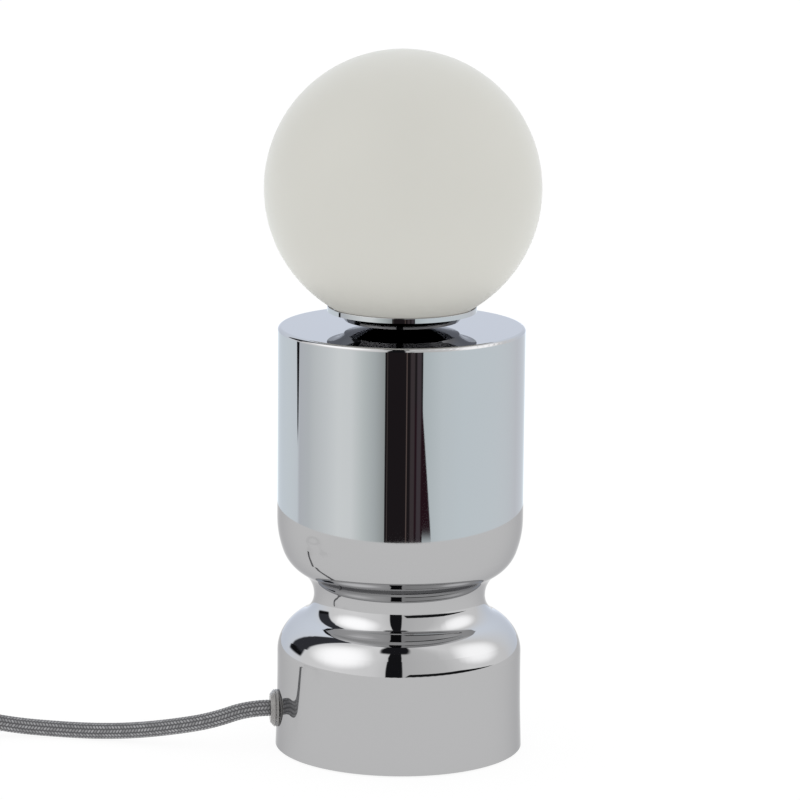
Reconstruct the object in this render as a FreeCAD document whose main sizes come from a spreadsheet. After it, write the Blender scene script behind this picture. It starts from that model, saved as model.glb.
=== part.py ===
import FreeCAD, Part
import math
import os
import re

import Sketcher
from FreeCAD import Rotation, Vector

# Glass globe table lamp. Millimetres, +Z up, origin under the middle of the foot, cord leaving towards -X.
doc = FreeCAD.newDocument("GlobeTableLamp")

# ---------------------------------------------------------------- driving dimensions

SIZES = {
    # spun body; heights are above the table
    "rim_z": (0.8, "lower rim of the body"),
    "foot_r": (54.27, "radius at the lower rim"),
    "base_r": (53.55, "radius of the base wall"),
    "flare_z": (33.8, "height where the flare of the foot ends"),
    "shoulder_z": (43.17, "height where the shoulder starts"),
    "shoulder_low": (16.24, "first arc of the shoulder"),
    "shoulder_turn": (28.4, "degrees that the first arc turns"),
    "shoulder_high": (18.8, "second arc of the shoulder"),
    "neck_low": (10.34, "hollow under the neck"),
    "neck_r": (37.59, "radius of the neck"),
    "neck_high": (13.25, "hollow over the neck"),
    "cup_low": (17.58, "lower arc of the cup"),
    "cup_high": (41.31, "upper arc of the cup"),
    "cup_turn": (20.6, "degrees that the upper arc turns"),
    "cup_z": (102.98, "height where the cup's wall starts"),
    "cup_r": (53.82, "radius of the cup"),
    "top_z": (187.55, "flat top of the cup"),
    "top_edge": (1.5, "rounding of the top edge"),
    "wall": (1.2, "sheet of the body"),
    # base
    "pad_thick": (3.0, "foam pad under the base"),
    "pad_r": (50.0, "radius of the foam pad"),
    "pad_edge": (0.6, "rounding of its lower edge"),
    "plate_r": (52.3, "base plate"),
    "plate_thick": (1.5, "sheet of the base plate"),
    "dome_r": (16.0, "raised middle of the base plate"),
    "dome_rise": (6.0, "its height"),
    "seat_out": (52.85, "seat ring, outside"),
    "seat_in": (49.6, "seat ring, inside"),
    "seat_high": (3.0, "height of the seat ring"),
    "ballast_r": (48.8, "iron weight"),
    "ballast_in": (17.0, "hole of the iron weight"),
    "ballast_high": (8.0, "thickness of the iron weight"),
    "ballast_edge": (1.2, "chamfer of its upper edges"),
    # stem
    "stem_r": (5.0, "threaded tube"),
    "stem_bore": (3.5, "its bore"),
    "stem_gap": (0.2, "play round the tube"),
    "nut_flats": (14.0, "nut across flats"),
    "nut_thick": (4.2, "nut"),
    "washer_r": (10.0, "washer"),
    "washer_thick": (1.5, "washer"),
    "stem_foot": (0.3, "start of the tube above the pad's top"),
    "stem_short": (1.3, "end of the tube below the lampholder"),
    "port_z": (30.0, "middle of the wire port in the tube"),
    "port_long": (14.0, "its length"),
    "port_wide": (5.2, "its width"),
    # dish under the globe
    "spacer_r": (10.0, "foot of the conical spacer under the dish"),
    "spacer_high": (3.05, "its height"),
    "dish_floor": (25.0, "radius of the dish's flat floor"),
    "dish_r": (32.5, "radius of the dish's rim"),
    "dish_turn": (194.5, "height where the rim starts"),
    "dish_top": (196.8, "top of the rim"),
    "dish_sheet": (0.8, "sheet of the dish"),
    "dish_curve": (9.0, "outer curve of its flared wall"),
    "dish_edge": (0.3, "rounding of its rim"),
    "gasket_in": (22.6, "soft ring under the glass, inside"),
    "gasket_low": (24.4, "its outside on the dish's floor"),
    "gasket_out": (25.9, "its outside under the glass"),
    "gasket_slant": (1.6, "height where its outside turns upright"),
    "hub_r": (12.0, "hub of the spring star"),
    "finger_play": (0.4, "play between the fingers and the soft ring"),
    "finger_r": (24.2, "outside of the spring fingers"),
    "bow_low": (0.2, "start of the fingers' bow below the soft ring's top"),
    "bow_high": (1.2, "widest point of the bow above it"),
    "finger_sheet": (0.5, "spring sheet"),
    "finger_high": (9.0, "height of the fingers"),
    "finger_wide": (7.0, "width of a finger"),
    # glass globe
    "globe_r": (60.0, "glass globe"),
    "globe_z": (247.88, "its centre"),
    "glass": (2.6, "wall of the glass"),
    "mouth_r": (24.6, "mouth of the glass"),
    "mouth_edge": (0.8, "rounding of the mouth"),
    # lampholder
    "holder_long": (22.0, "ceramic body along X"),
    "holder_wide": (17.0, "ceramic body along Y"),
    "holder_z": (200.3, "its underside"),
    "holder_high": (19.0, "its height"),
    "holder_corner": (3.0, "rounding of its upright corners"),
    "holder_edge": (0.8, "rounding of its top edge"),
    "hollow_long": (15.0, "hollow under it along X"),
    "hollow_wide": (10.0, "the hollow along Y"),
    "hollow_deep": (6.0, "depth of the hollow"),
    "pin_pitch": (9.0, "distance of the bulb's pins"),
    "slot_deep": (13.0, "depth of the pin slots"),
    "slot_long": (5.2, "slot along Y"),
    "slot_wide": (2.2, "slot along X"),
    "leaf_sheet": (0.4, "contact leaf"),
    "leaf_wide": (4.0, "its width"),
    "cross_z": (6.0, "height of the cross screws above the underside"),
    "cross_r": (1.25, "cross screw"),
    "cross_head": (2.6, "its head"),
    "cross_high": (1.8, "height of the head"),
    "cross_deep": (3.4, "how far it goes into the ceramic"),
    "strap_sheet": (1.5, "sheet of the stirrup"),
    "strap_wide": (11.0, "width of the stirrup"),
    "strap_high": (14.0, "height of the stirrup's arms"),
    # bulb
    "bulb_r": (8.2, "frosted cover of the bulb"),
    "bulb_long": (33.0, "its length"),
    "bulb_foot": (9.0, "height of the bulb's base"),
    "bulb_gap": (0.3, "gap under the bulb's base"),
    "bulb_wall": (1.0, "wall of the cover"),
    "loop_long": (7.5, "straight part of the pin loops"),
    "loop_r": (1.1, "bend of a loop"),
    "loop_wire": (0.5, "radius of the loops' wire"),
    "board_wide": (10.0, "width of the light board"),
    "board_thick": (1.0, "its thickness"),
    "board_long": (24.0, "its length"),
    "light_pitch": (6.0, "distance of the lights"),
    "light_long": (3.5, "length of a light"),
    "light_wide": (2.8, "its width"),
    "light_thick": (0.8, "its thickness"),
    # cord and gland
    "cord_r": (3.4, "radius of the braided cord"),
    "gland_z": (17.3, "height of the cord's exit"),
    "gland_r": (8.2, "flange of the gland"),
    "gland_face": (6.4, "outer face of the gland"),
    "gland_out": (56.8, "distance of the gland's face"),
    "gland_rim": (1.1, "rear rim of the gland"),
    "gland_disc": (1.9, "front disc of the gland"),
    "gland_slant": (1.6, "chamfer of the front disc, along the axis"),
    "gland_groove": (0.4, "groove between disc and rim"),
    "groove_deep": (0.7, "its depth"),
    "shank_r": (4.9, "shank of the gland"),
    "shank_long": (8.0, "end of the shank behind the face"),
    "cord_play": (0.1, "play round the cord"),
    "gland_flats": (14.0, "gland's nut across flats"),
    "gland_nut_thick": (2.8, "gland's nut"),
    # clamp and terminal block on the iron weight
    "clamp_x": (-42.0, "middle of the cord clamp"),
    "clamp_long": (8.0, "clamp along the cord"),
    "clamp_wide": (22.0, "clamp across the cord"),
    "clamp_slit": (1.2, "slit between the halves, above the cord's middle"),
    "bridge_high": (4.4, "thickness of the upper half"),
    "clamp_pitch": (15.0, "distance of the clamp's screws"),
    "clamp_hole": (1.55, "hole for a clamp screw"),
    "clamp_screw_r": (1.5, "clamp screw"),
    "clamp_screw_long": (12.0, "its length under the head"),
    "clamp_head": (2.7, "its head"),
    "clamp_head_high": (1.8, "height of the head"),
    "block_x": (-22.0, "middle of the terminal block"),
    "block_long": (16.0, "block along X"),
    "block_wide": (18.0, "block along Y"),
    "block_high": (12.0, "its height"),
    "pole_pitch": (9.0, "distance of the two poles"),
    "pole_z": (5.5, "height of the wires' way in the block"),
    "insert_r": (2.6, "brass insert"),
    "insert_bore": (1.1, "its bore"),
    "insert_long": (15.0, "its length"),
    "well_r": (2.0, "well over a screw"),
    "grub_pitch": (8.0, "distance of a pole's two screws"),
    "grub_r": (1.5, "grub screw"),
    "grub_long": (3.2, "its length"),
    # wires
    "core_r": (1.0, "core of the cord"),
    "lamp_wire_r": (0.9, "heat-proof wire"),
    "core_gap": (0.4, "bare gap between a cord's end and its cores"),
    # coil of put-away cord
    "coil_x": (-345.0, "middle of the coil"),
    "coil_mean": (40.8, "radius at the middle of the turns"),
    "coil_pitch": (7.3, "distance of neighbouring turns"),
    "coil_turns": (5.5, "turns in two layers"),
    # switch on the cord
    "switch_x": (-225.0, "middle of the switch"),
    "switch_y": (25.5, "middle of the switch"),
    "switch_long": (62.0, "length"),
    "switch_wide": (27.0, "width"),
    "switch_split": (8.0, "parting height"),
    "switch_high": (18.0, "height of the casing"),
    "switch_wall": (2.0, "wall"),
    "switch_corner": (9.0, "rounding of its corners"),
    "switch_inner": (7.0, "rounding of the hollow's corners"),
    "switch_foot": (1.8, "rounding of the lower edge"),
    "switch_crown": (3.5, "rounding of the upper edge"),
    "switch_grip": (8.0, "length of cord inside each end"),
    "rib_x": (22.0, "ribs that hold the cord, from the middle"),
    "rib_wide": (1.6, "thickness of a rib"),
    "post_x": (20.0, "screw posts, from the middle along X"),
    "post_y": (-8.0, "screw posts, from the middle along Y"),
    "post_r": (3.4, "screw post"),
    "post_hole": (1.6, "screw's hole in the base"),
    "post_bite": (1.3, "screw's hole in the cover, and the screw"),
    "recess_r": (2.9, "recess for a screw's head"),
    "recess_deep": (2.2, "its depth"),
    "post_head": (2.7, "screw's head"),
    "post_head_high": (1.7, "height of the head"),
    "post_screw_long": (12.0, "screw under the head"),
    "rocker_r": (10.8, "ends of the rocker about its pivot"),
    "rocker_wide": (12.4, "width of the rocker"),
    "rocker_z": (12.0, "height of the pivot"),
    "rocker_tilt": (8.0, "degrees that the rocker leans each way"),
    "rocker_valley": (4.97, "height of the rocker's middle above its pivot"),
    "rocker_edge": (0.5, "rounding of its sides"),
    "pivot_r": (1.2, "pivot pin"),
    "pivot_out": (1.5, "pivot pin beyond each side"),
    "pivot_play": (0.1, "play round it"),
    "window_long": (20.8, "window for the rocker"),
    "window_play": (0.4, "play beside the rocker"),
    "cheek_long": (9.0, "cheek that carries the pivot"),
    "cheek_thick": (1.6, "its thickness"),
    "cheek_low": (9.5, "its lower end above the table"),
    # plug
    "plug_x": (-262.0, "where the cord enters the plug"),
    "plug_y": (-38.0, "where the cord enters the plug"),
    "plug_turn": (7.5, "degrees that the plug points away from +X towards -Y"),
    "plug_wide": (35.3, "width"),
    "plug_thick": (13.7, "thickness"),
    "plug_long": (36.0, "length of the grip"),
    "relief_long": (22.0, "moulded strain relief"),
    "prong_r": (2.0, "pin of the plug"),
    "prong_long": (19.0, "length of a pin"),
    "prong_pitch": (18.6, "distance of the pins"),
    "prong_root": (8.0, "length of a pin inside the plug"),
    "sleeve_long": (9.0, "insulated part of a pin"),
    "sleeve_step": (0.2, "sleeve below the pin's surface"),
    "core_step": (0.6, "pin's core under the sleeve"),
    "relief_wall": (1.3, "wall of the strain relief at its end"),
    "relief_grow": (0.07, "how much it widens for each millimetre"),
    "relief_ring": (4.4, "distance of its rings"),
    "relief_first": (3.0, "its first ring"),
    "relief_notch": (1.3, "width of the notch behind a ring"),
    "relief_deep": (0.9, "depth of the notch"),
    "plug_neck": (6.0, "half width where the grip starts"),
    "plug_flare": (24.0, "hollow curve of the grip's sides"),
    "flare_long": (17.0, "length of that curve"),
    "plug_edge": (3.5, "rounding of the grip"),
}

sheet = doc.addObject("Spreadsheet::Sheet", "Sizes")
for line, (name, (value, note)) in enumerate(SIZES.items(), 1):
    sheet.set(f"A{line}", note)
    sheet.set(f"B{line}", str(value))
    sheet.setAlias(f"B{line}", name)
doc.recompute()


def bound(expression):
    """The expression with each alias read from the sheet."""
    return re.sub(r"[a-z]\w+", lambda m: "Sizes." + m[0] if m[0] in SIZES else m[0], str(expression))


def size(expression):
    """The value of an expression of sheet aliases, in millimetres."""
    return float(sheet.evalExpression(bound(expression)))


# ---------------------------------------------------------------- making pieces


class Piece:
    """A part-design body whose sketches and features read their sizes from the sheet."""

    def __init__(self, label):
        self.body = doc.addObject("PartDesign::Body", label)
        self.body.Label = label

    def sketch(self, role, offset="0"):
        drawn = self.body.newObject("Sketcher::SketchObject", self.body.Label + "_sketch")
        plane = next(f for f in self.body.Origin.OriginFeatures if f.Role == role)
        drawn.AttachmentSupport = [(plane, "")]
        drawn.MapMode = "FlatFace"
        drawn.setExpression("AttachmentOffset.Base.z", bound(offset))
        return drawn

    def feature(self, kind, drawn=None, **values):
        made = self.body.newObject("PartDesign::" + kind, f"{self.body.Label}_{kind.lower()}")
        if drawn:
            made.Profile = drawn
            drawn.Visibility = False
        for name, value in values.items():
            if isinstance(value, str) and name in ("Length", "Radius", "Size", "Value"):
                made.setExpression(name, bound(value))
            else:
                setattr(made, name, value)
        doc.recompute()
        return made

    def turned(self, *corners):
        drawn = self.sketch("XZ_Plane")
        outline(drawn, corners)
        self.feature("Revolution", drawn, ReferenceAxis=(drawn, ["V_Axis"]), Angle=360)
        return self

    def padded(self, length, corners, role="XY_Plane", offset="0", **more):
        drawn = self.sketch(role, offset)
        outline(drawn, corners)
        self.feature("Pad", drawn, Length=length, **more)
        return self

    def pocketed(self, length, corners, role="XY_Plane", offset="0", **more):
        """Cuts an outline; a cut that takes nothing away is an error."""
        before = self.body.Shape.Volume
        drawn = self.sketch(role, offset)
        outline(drawn, corners)
        self.feature("Pocket", drawn, Length=length, **more)
        if self.body.Shape.Volume > before - 1e-3:
            raise RuntimeError(f"{self.body.Label}: a pocket cuts nothing")
        return self

    def rounded(self, radius, test, kind="Fillet"):
        """Fillets or chamfers the edges whose end points all pass a test."""
        shape = self.body.Shape
        picked = [
            f"Edge{k}"
            for k, edge in enumerate(shape.Edges, 1)
            if not edge.Degenerated and all(test(p) for p in edge.discretize(5))
        ]
        if not picked:
            raise RuntimeError(f"{self.body.Label}: no edge to round")
        base = (self.body.Tip, picked)
        self.feature(kind, Base=base, **{"Radius" if kind == "Fillet" else "Size": radius})
        return self

    def placed(self, x="0", y="0", z="0", rotation=None):
        if rotation:
            self.body.Placement.Rotation = rotation
        for axis, value in zip("xyz", (x, y, z)):
            self.body.setExpression(f"Placement.Base.{axis}", bound(value))
        return self


def pin_point(drawn, curve, end, x, y):
    """Fixes a point of a sketch at the sheet's values."""
    for kind, value in (("DistanceX", x), ("DistanceY", y)):
        fixed = Sketcher.Constraint(kind, -1, 1, curve, end, size(value))
        index = drawn.addConstraint(fixed)
        if re.search("[a-z]", str(value)):
            drawn.setExpression(f"Constraints[{index}]", bound(value))


def pin_radius(drawn, curve, radius):
    index = drawn.addConstraint(Sketcher.Constraint("Radius", curve, size(radius)))
    drawn.setExpression(f"Constraints[{index}]", bound(radius))


def outline(drawn, corners):
    """Closed outline of lines and arcs, or one circle.

    A corner is (x, y), or (x, y, radius) where an arc leads to it: "+" turns left, "-" turns right.
    A circle is ("circle", x, y, radius).
    """
    if corners[0] == "circle":
        _, x, y, radius = corners
        ring = Part.Circle(Vector(size(x), size(y), 0), Vector(0, 0, 1), size(radius))
        curve = drawn.addGeometry(ring, False)
        pin_point(drawn, curve, 3, x, y)
        pin_radius(drawn, curve, radius)
        return
    points = [Vector(size(c[0]), size(c[1]), 0) for c in corners]
    ends = []
    for k, corner in enumerate(corners):
        start, stop = points[k - 1], points[k]
        if len(corner) == 2:
            curve = drawn.addGeometry(Part.LineSegment(start, stop), False)
            ends.append((curve, 1, 2))
            continue
        left = corner[2][0] == "+"
        radius = size(corner[2][1:])
        chord = stop - start
        away = Vector(-chord.y, chord.x, 0).normalize() * math.sqrt(radius**2 - (chord.Length / 2) ** 2)
        centre = (start + stop) / 2 + (away if left else -away)
        first, last = ((start, stop) if left else (stop, start))
        turn = [math.atan2((p - centre).y, (p - centre).x) for p in (first, last)]
        ring = Part.Circle(centre, Vector(0, 0, 1), radius)
        curve = drawn.addGeometry(Part.ArcOfCircle(ring, *turn), False)
        ends.append((curve, 1, 2) if left else (curve, 2, 1))
    for k, (curve, first, last) in enumerate(ends):
        before = ends[k - 1]
        drawn.addConstraint(Sketcher.Constraint("Coincident", before[0], before[2], curve, first))
        pin_point(drawn, curve, last, *corners[k][:2])
        if len(corners[k]) == 3:
            pin_radius(drawn, curve, corners[k][2][1:])


def box(x0, x1, y0, y1):
    """Outline of a rectangle."""
    return ((x0, y0), (x1, y0), (x1, y1), (x0, y1))


def middle_box(long, wide):
    """Outline of a rectangle about the origin."""
    return box(f"-{long} / 2", f"{long} / 2", f"-{wide} / 2", f"{wide} / 2")


def primitive(kind, label, at=("0", "0", "0"), axis=None, **sizes):
    """A Part primitive with its sizes and its place read from the sheet."""
    made = doc.addObject("Part::" + kind, label)
    if axis:
        made.Placement.Rotation = Rotation(Vector(0, 0, 1), Vector(*axis))
    for name, value in sizes.items():
        made.setExpression(name, bound(value))
    for letter, value in zip("xyz", at):
        made.setExpression(f"Placement.Base.{letter}", bound(value))
    return made


def joined(kind, label, shapes):
    """Boolean of several objects: a union, or a compound of separate pieces."""
    made = doc.addObject("Part::" + kind, label)
    setattr(made, "Links" if kind == "Compound" else "Shapes", shapes)
    made.Label = label
    return made


def cut(label, base, tool):
    made = doc.addObject("Part::Cut", label)
    made.Base, made.Tool = base, tool
    made.Label = label
    return made


nodes = []


def node(made):
    """Keeps a finished sub-part for export under its label."""
    nodes.append(made.body if isinstance(made, Piece) else made)
    return made


# ---------------------------------------------------------------- spun body


def spun_profile(drawn):
    """Half section of the body: a chain of tangent arcs and lines from the rim up to the flat top."""
    s = {name: size(name) for name in SIZES}

    def polar(centre, radius, degrees):
        turn = math.radians(degrees)
        return Vector(centre.x + radius * math.cos(turn), centre.y + radius * math.sin(turn), 0)

    # centres of the arcs, each worked out from the one before
    low = Vector(s["base_r"] - s["shoulder_low"], s["shoulder_z"], 0)
    high = polar(low, s["shoulder_low"] - s["shoulder_high"], s["shoulder_turn"])
    reach = s["shoulder_high"] + s["neck_low"]
    meet_low = math.degrees(math.acos((s["neck_r"] + s["neck_low"] - high.x) / reach))
    under = polar(high, reach, meet_low)
    upper = Vector(s["cup_r"] - s["cup_high"], s["cup_z"], 0)
    lower = polar(upper, s["cup_high"] - s["cup_low"], -s["cup_turn"])
    reach = s["cup_low"] + s["neck_high"]
    meet_high = math.degrees(math.acos((s["neck_r"] + s["neck_high"] - lower.x) / reach))
    over = polar(lower, reach, -meet_high)

    flare_high = s["flare_z"] - s["rim_z"]
    flare_r = (flare_high**2 / (s["foot_r"] - s["base_r"]) + s["foot_r"] - s["base_r"]) / 2
    flare = Vector(s["base_r"] + flare_r, s["flare_z"], 0)
    foot_turn = 180 + math.degrees(math.asin(flare_high / flare_r))

    def arc(centre, radius, first, last):
        ring = Part.Circle(centre, Vector(0, 0, 1), radius)
        return Part.ArcOfCircle(ring, math.radians(first), math.radians(last))

    rim, top = Vector(0, s["rim_z"], 0), Vector(0, s["top_z"], 0)
    foot = polar(flare, flare_r, foot_turn)
    wall_low, wall_high = Vector(s["base_r"], s["flare_z"], 0), Vector(s["base_r"], s["shoulder_z"], 0)
    neck = Vector(s["neck_r"], under.y, 0), Vector(s["neck_r"], over.y, 0)
    cup = Vector(s["cup_r"], s["cup_z"], 0), Vector(s["cup_r"], s["top_z"], 0)
    chain = [
        Part.LineSegment(rim, foot),
        arc(flare, flare_r, 180, foot_turn),
        Part.LineSegment(wall_low, wall_high),
        arc(low, s["shoulder_low"], 0, s["shoulder_turn"]),
        arc(high, s["shoulder_high"], s["shoulder_turn"], meet_low),
        arc(under, s["neck_low"], 180, 180 + meet_low),
        Part.LineSegment(*neck),
        arc(over, s["neck_high"], 180 - meet_high, 180),
        arc(lower, s["cup_low"], -meet_high, -s["cup_turn"]),
        arc(upper, s["cup_high"], -s["cup_turn"], 0),
        Part.LineSegment(*cup),
        Part.LineSegment(cup[1], top),
        Part.LineSegment(top, rim),
    ]
    drawn.addGeometry(chain, False)
    backwards = {1, 5, 7}  # arcs that the chain follows from their end to their start
    for k in range(len(chain)):
        after = (k + 1) % len(chain)
        leaves, arrives = (1 if k in backwards else 2), (2 if after in backwards else 1)
        kind = "Tangent" if 1 <= k <= 9 else "Coincident"
        drawn.addConstraint(Sketcher.Constraint(kind, k, leaves, after, arrives))
    for line in (2, 6, 10):
        drawn.addConstraint(Sketcher.Constraint("Vertical", line))
    drawn.addConstraint(Sketcher.Constraint("Horizontal", 0))
    drawn.addConstraint(Sketcher.Constraint("Horizontal", 11))
    drawn.addConstraint(Sketcher.Constraint("PointOnObject", 12, 1, -2))
    drawn.addConstraint(Sketcher.Constraint("PointOnObject", 12, 2, -2))

    def hold(kind, expression, *where):
        value = math.radians(size(expression)) if kind == "Angle" else size(expression)
        index = drawn.addConstraint(Sketcher.Constraint(kind, *where, value))
        drawn.setExpression(f"Constraints[{index}]", bound(expression))

    hold("DistanceX", "foot_r", -1, 1, 0, 2)
    hold("DistanceY", "rim_z", -1, 1, 0, 2)
    hold("DistanceX", "base_r", -1, 1, 2, 1)
    hold("DistanceY", "flare_z", -1, 1, 2, 1)
    hold("DistanceY", "shoulder_z", -1, 1, 2, 2)
    hold("DistanceX", "neck_r", -1, 1, 6, 1)
    hold("DistanceX", "cup_r", -1, 1, 10, 1)
    hold("DistanceY", "cup_z", -1, 1, 10, 1)
    hold("DistanceY", "top_z", -1, 1, 10, 2)
    for curve, radius in (
        (3, "shoulder_low"),
        (4, "shoulder_high"),
        (5, "neck_low"),
        (7, "neck_high"),
        (8, "cup_low"),
        (9, "cup_high"),
    ):
        hold("Radius", radius, curve)
    hold("Angle", "shoulder_turn", 3)
    hold("Angle", "cup_turn", 9)


def body_shell():
    piece = Piece("body_shell")
    drawn = piece.sketch("XZ_Plane")
    spun_profile(drawn)
    piece.feature("Revolution", drawn, ReferenceAxis=(drawn, ["V_Axis"]), Angle=360)
    top, rim = size("top_z"), size("rim_z")
    piece.rounded("top_edge", lambda p: abs(p.z - top) < 1e-4 and p.x**2 + p.y**2 > 100)
    faces = [f"Face{k}" for k, f in enumerate(piece.body.Shape.Faces, 1) if f.BoundBox.ZMax < rim + 0.01]
    solid = piece.body.Shape.Volume
    piece.feature("Thickness", Base=(piece.body.Tip, faces), Value="wall", Reversed=True, Join=0)
    if piece.body.Shape.Volume > 0.2 * solid:
        raise RuntimeError("body_shell: not hollow")
    piece.pocketed("3 * wall", ("circle", "0", "0", "stem_r + stem_gap"), offset="top_z + wall")
    exit_hole = ("circle", "0", "gland_z", "shank_r + 0.1")
    piece.pocketed("foot_r", exit_hole, "YZ_Plane", "-foot_r - wall", Reversed=True)
    return piece


node(body_shell())

# ---------------------------------------------------------------- base

PLATE_Z = "pad_thick"
PLATE_TOP = "pad_thick + plate_thick"
DOME_TOP = "pad_thick + plate_thick + dome_rise"
BALLAST_TOP = "pad_thick + plate_thick + ballast_high"

foot_pad = Piece("foot_pad").turned(
    ("dome_r", "0"), ("pad_r", "0"), ("pad_r", PLATE_Z), ("dome_r", PLATE_Z)
)
node(foot_pad.rounded("pad_edge", lambda p: p.z < 0.01 and math.hypot(p.x, p.y) > size("dome_r") + 1))

base_plate = Piece("base_plate").turned(
    ("stem_r + stem_gap", f"{PLATE_Z} + dome_rise"),
    ("dome_r - plate_thick", f"{PLATE_Z} + dome_rise"),
    ("dome_r - plate_thick", PLATE_Z),
    ("plate_r", PLATE_Z),
    ("plate_r", PLATE_TOP),
    ("dome_r", PLATE_TOP),
    ("dome_r", DOME_TOP),
    ("stem_r + stem_gap", DOME_TOP),
)
node(base_plate)

SEAT_TOP = f"{PLATE_TOP} + seat_high"
node(Piece("seat_ring").turned(
    ("seat_in", PLATE_TOP), ("seat_out", PLATE_TOP), ("seat_out", SEAT_TOP), ("seat_in", SEAT_TOP)
))

ballast = Piece("ballast_disc").turned(
    ("ballast_in", PLATE_TOP),
    ("ballast_r", PLATE_TOP),
    ("ballast_r", BALLAST_TOP),
    ("ballast_in", BALLAST_TOP),
)
node(ballast.rounded("ballast_edge", lambda p: p.z > size(BALLAST_TOP) - 0.01, "Chamfer"))

# ---------------------------------------------------------------- stem, its nuts and washer


def stem_tube():
    low, high = "pad_thick + stem_foot", "holder_z - stem_short"
    piece = Piece("stem_tube").turned(
        ("stem_bore", low), ("stem_r", low), ("stem_r", high), ("stem_bore", high)
    )
    port = box("-port_wide / 2", "port_wide / 2", "port_z - port_long / 2", "port_z + port_long / 2")
    return piece.pocketed("2 * stem_r", port, "YZ_Plane", "0", Reversed=False)


node(stem_tube())

WASHER_TOP = f"{PLATE_Z} + dome_rise"
DISH_Z = "top_z + spacer_high"
DISH_FLOOR = "top_z + spacer_high + dish_sheet"
CLIP_TOP = "top_z + spacer_high + dish_sheet + finger_sheet"


def ring(label, inner, outer, low, high):
    """Flat ring about the stem."""
    return Piece(label).turned((inner, low), (outer, low), (outer, high), (inner, high))


def hex_nut(label, low):
    """Thin nut about the stem."""
    at = ("0", "0", low)
    across = "nut_flats / 2 / cos(30)"
    body = primitive("Prism", label + "_hexagon", at, Circumradius=across, Height="nut_thick")
    hole = primitive("Cylinder", label + "_hole", at, Radius="stem_r", Height="nut_thick")
    return cut(label, body, hole)


node(ring("base_washer", "stem_r + stem_gap", "washer_r", f"{WASHER_TOP} - washer_thick", WASHER_TOP))
lower_nut = hex_nut("lower_nut", f"{WASHER_TOP} - washer_thick - nut_thick")
upper_nut = hex_nut("upper_nut", CLIP_TOP)
node(joined("Compound", "stem_nuts", [lower_nut, upper_nut]))

# ---------------------------------------------------------------- dish, soft ring and spring fingers

node(Piece("dish_spacer").turned(
    ("stem_r + stem_gap", "top_z"),
    ("spacer_r", "top_z"),
    ("dish_floor", DISH_Z),
    ("stem_r + stem_gap", DISH_Z),
))


def globe_dish():
    """Pressed dish: flat floor, a wall that curves outwards, and a short upright rim."""
    piece = Piece("globe_dish").turned(
        ("stem_r + stem_gap", DISH_Z),
        ("dish_floor", DISH_Z),
        ("dish_r", "dish_turn", "-dish_curve"),
        ("dish_r", "dish_top"),
        ("dish_r - dish_sheet", "dish_top"),
        ("dish_r - dish_sheet", "dish_turn + 0.2"),
        ("dish_floor - 0.4", DISH_FLOOR, "+dish_curve + dish_sheet"),
        ("stem_r + stem_gap", DISH_FLOOR),
    )
    return piece.rounded("dish_edge", lambda p: p.z > size("dish_top") - 0.01)


node(globe_dish())
GASKET_TOP = "globe_z - sqrt((globe_r - mouth_edge)^2 - (mouth_r + mouth_edge)^2) - mouth_edge"
node(Piece("dish_gasket").turned(
    ("gasket_in", DISH_FLOOR),
    ("gasket_low", DISH_FLOOR),
    ("gasket_out", DISH_FLOOR + " + gasket_slant"),
    ("gasket_out", GASKET_TOP),
    ("gasket_in", GASKET_TOP),
))


def spring_clips():
    """Star of spring sheet under the nut: a hub with three fingers that stand up inside the glass."""
    piece = ring("spring_clips", "stem_r + stem_gap", "hub_r", DISH_FLOOR, CLIP_TOP)
    arm = box("washer_r", "gasket_in - finger_play", "-finger_wide / 2", "finger_wide / 2")
    piece.padded("finger_sheet", arm, offset=DISH_FLOOR)
    arm_pad = piece.body.Tip
    inner, outer = "gasket_in - finger_play - finger_sheet", "gasket_in - finger_play"
    bow_start, bow_out = f"{GASKET_TOP} - bow_low", f"{GASKET_TOP} + bow_high"
    tip = f"{DISH_FLOOR} + finger_high"
    finger = (
        (inner, DISH_FLOOR),
        (outer, DISH_FLOOR),
        (outer, bow_start),
        ("finger_r", bow_out),
        (outer, tip),
        (inner, tip),
        ("finger_r - finger_sheet", bow_out),
        (inner, bow_start),
    )
    piece.padded("finger_wide", finger, "XZ_Plane", Midplane=True)
    finger_pad = piece.body.Tip
    axis = next(f for f in piece.body.Origin.OriginFeatures if f.Role == "Z_Axis")
    star = dict(Originals=[arm_pad, finger_pad], Axis=(axis, [""]), Angle=360, Occurrences=3)
    piece.body.Tip = piece.feature("PolarPattern", **star)
    return piece


node(spring_clips())

# ---------------------------------------------------------------- lampholder

STRAP_Z = CLIP_TOP + " + nut_thick"
HOLDER_TOP = "holder_z + holder_high"
CROSS_Z = "holder_z + cross_z"


def holder_bracket():
    """Stirrup on the stem, with two arms beside the ceramic body."""
    inner, outer = "(holder_wide / 2)", "(holder_wide / 2 + strap_sheet)"
    inside, top = f"{STRAP_Z} + strap_sheet", f"{STRAP_Z} + strap_high"
    arms = (
        (f"-{outer}", STRAP_Z),
        (outer, STRAP_Z),
        (outer, top),
        (inner, top),
        (inner, inside),
        (f"-{inner}", inside),
        (f"-{inner}", top),
        (f"-{outer}", top),
    )
    piece = Piece("holder_bracket").padded("strap_wide", arms, "YZ_Plane", Midplane=True)
    piece.pocketed("2 * strap_sheet", ("circle", "0", "0", "stem_r"), offset=inside)
    screw = ("circle", "0", CROSS_Z, "cross_r + 0.3")
    piece.pocketed("2 * holder_wide", screw, "XZ_Plane", Midplane=True)
    return piece


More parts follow.
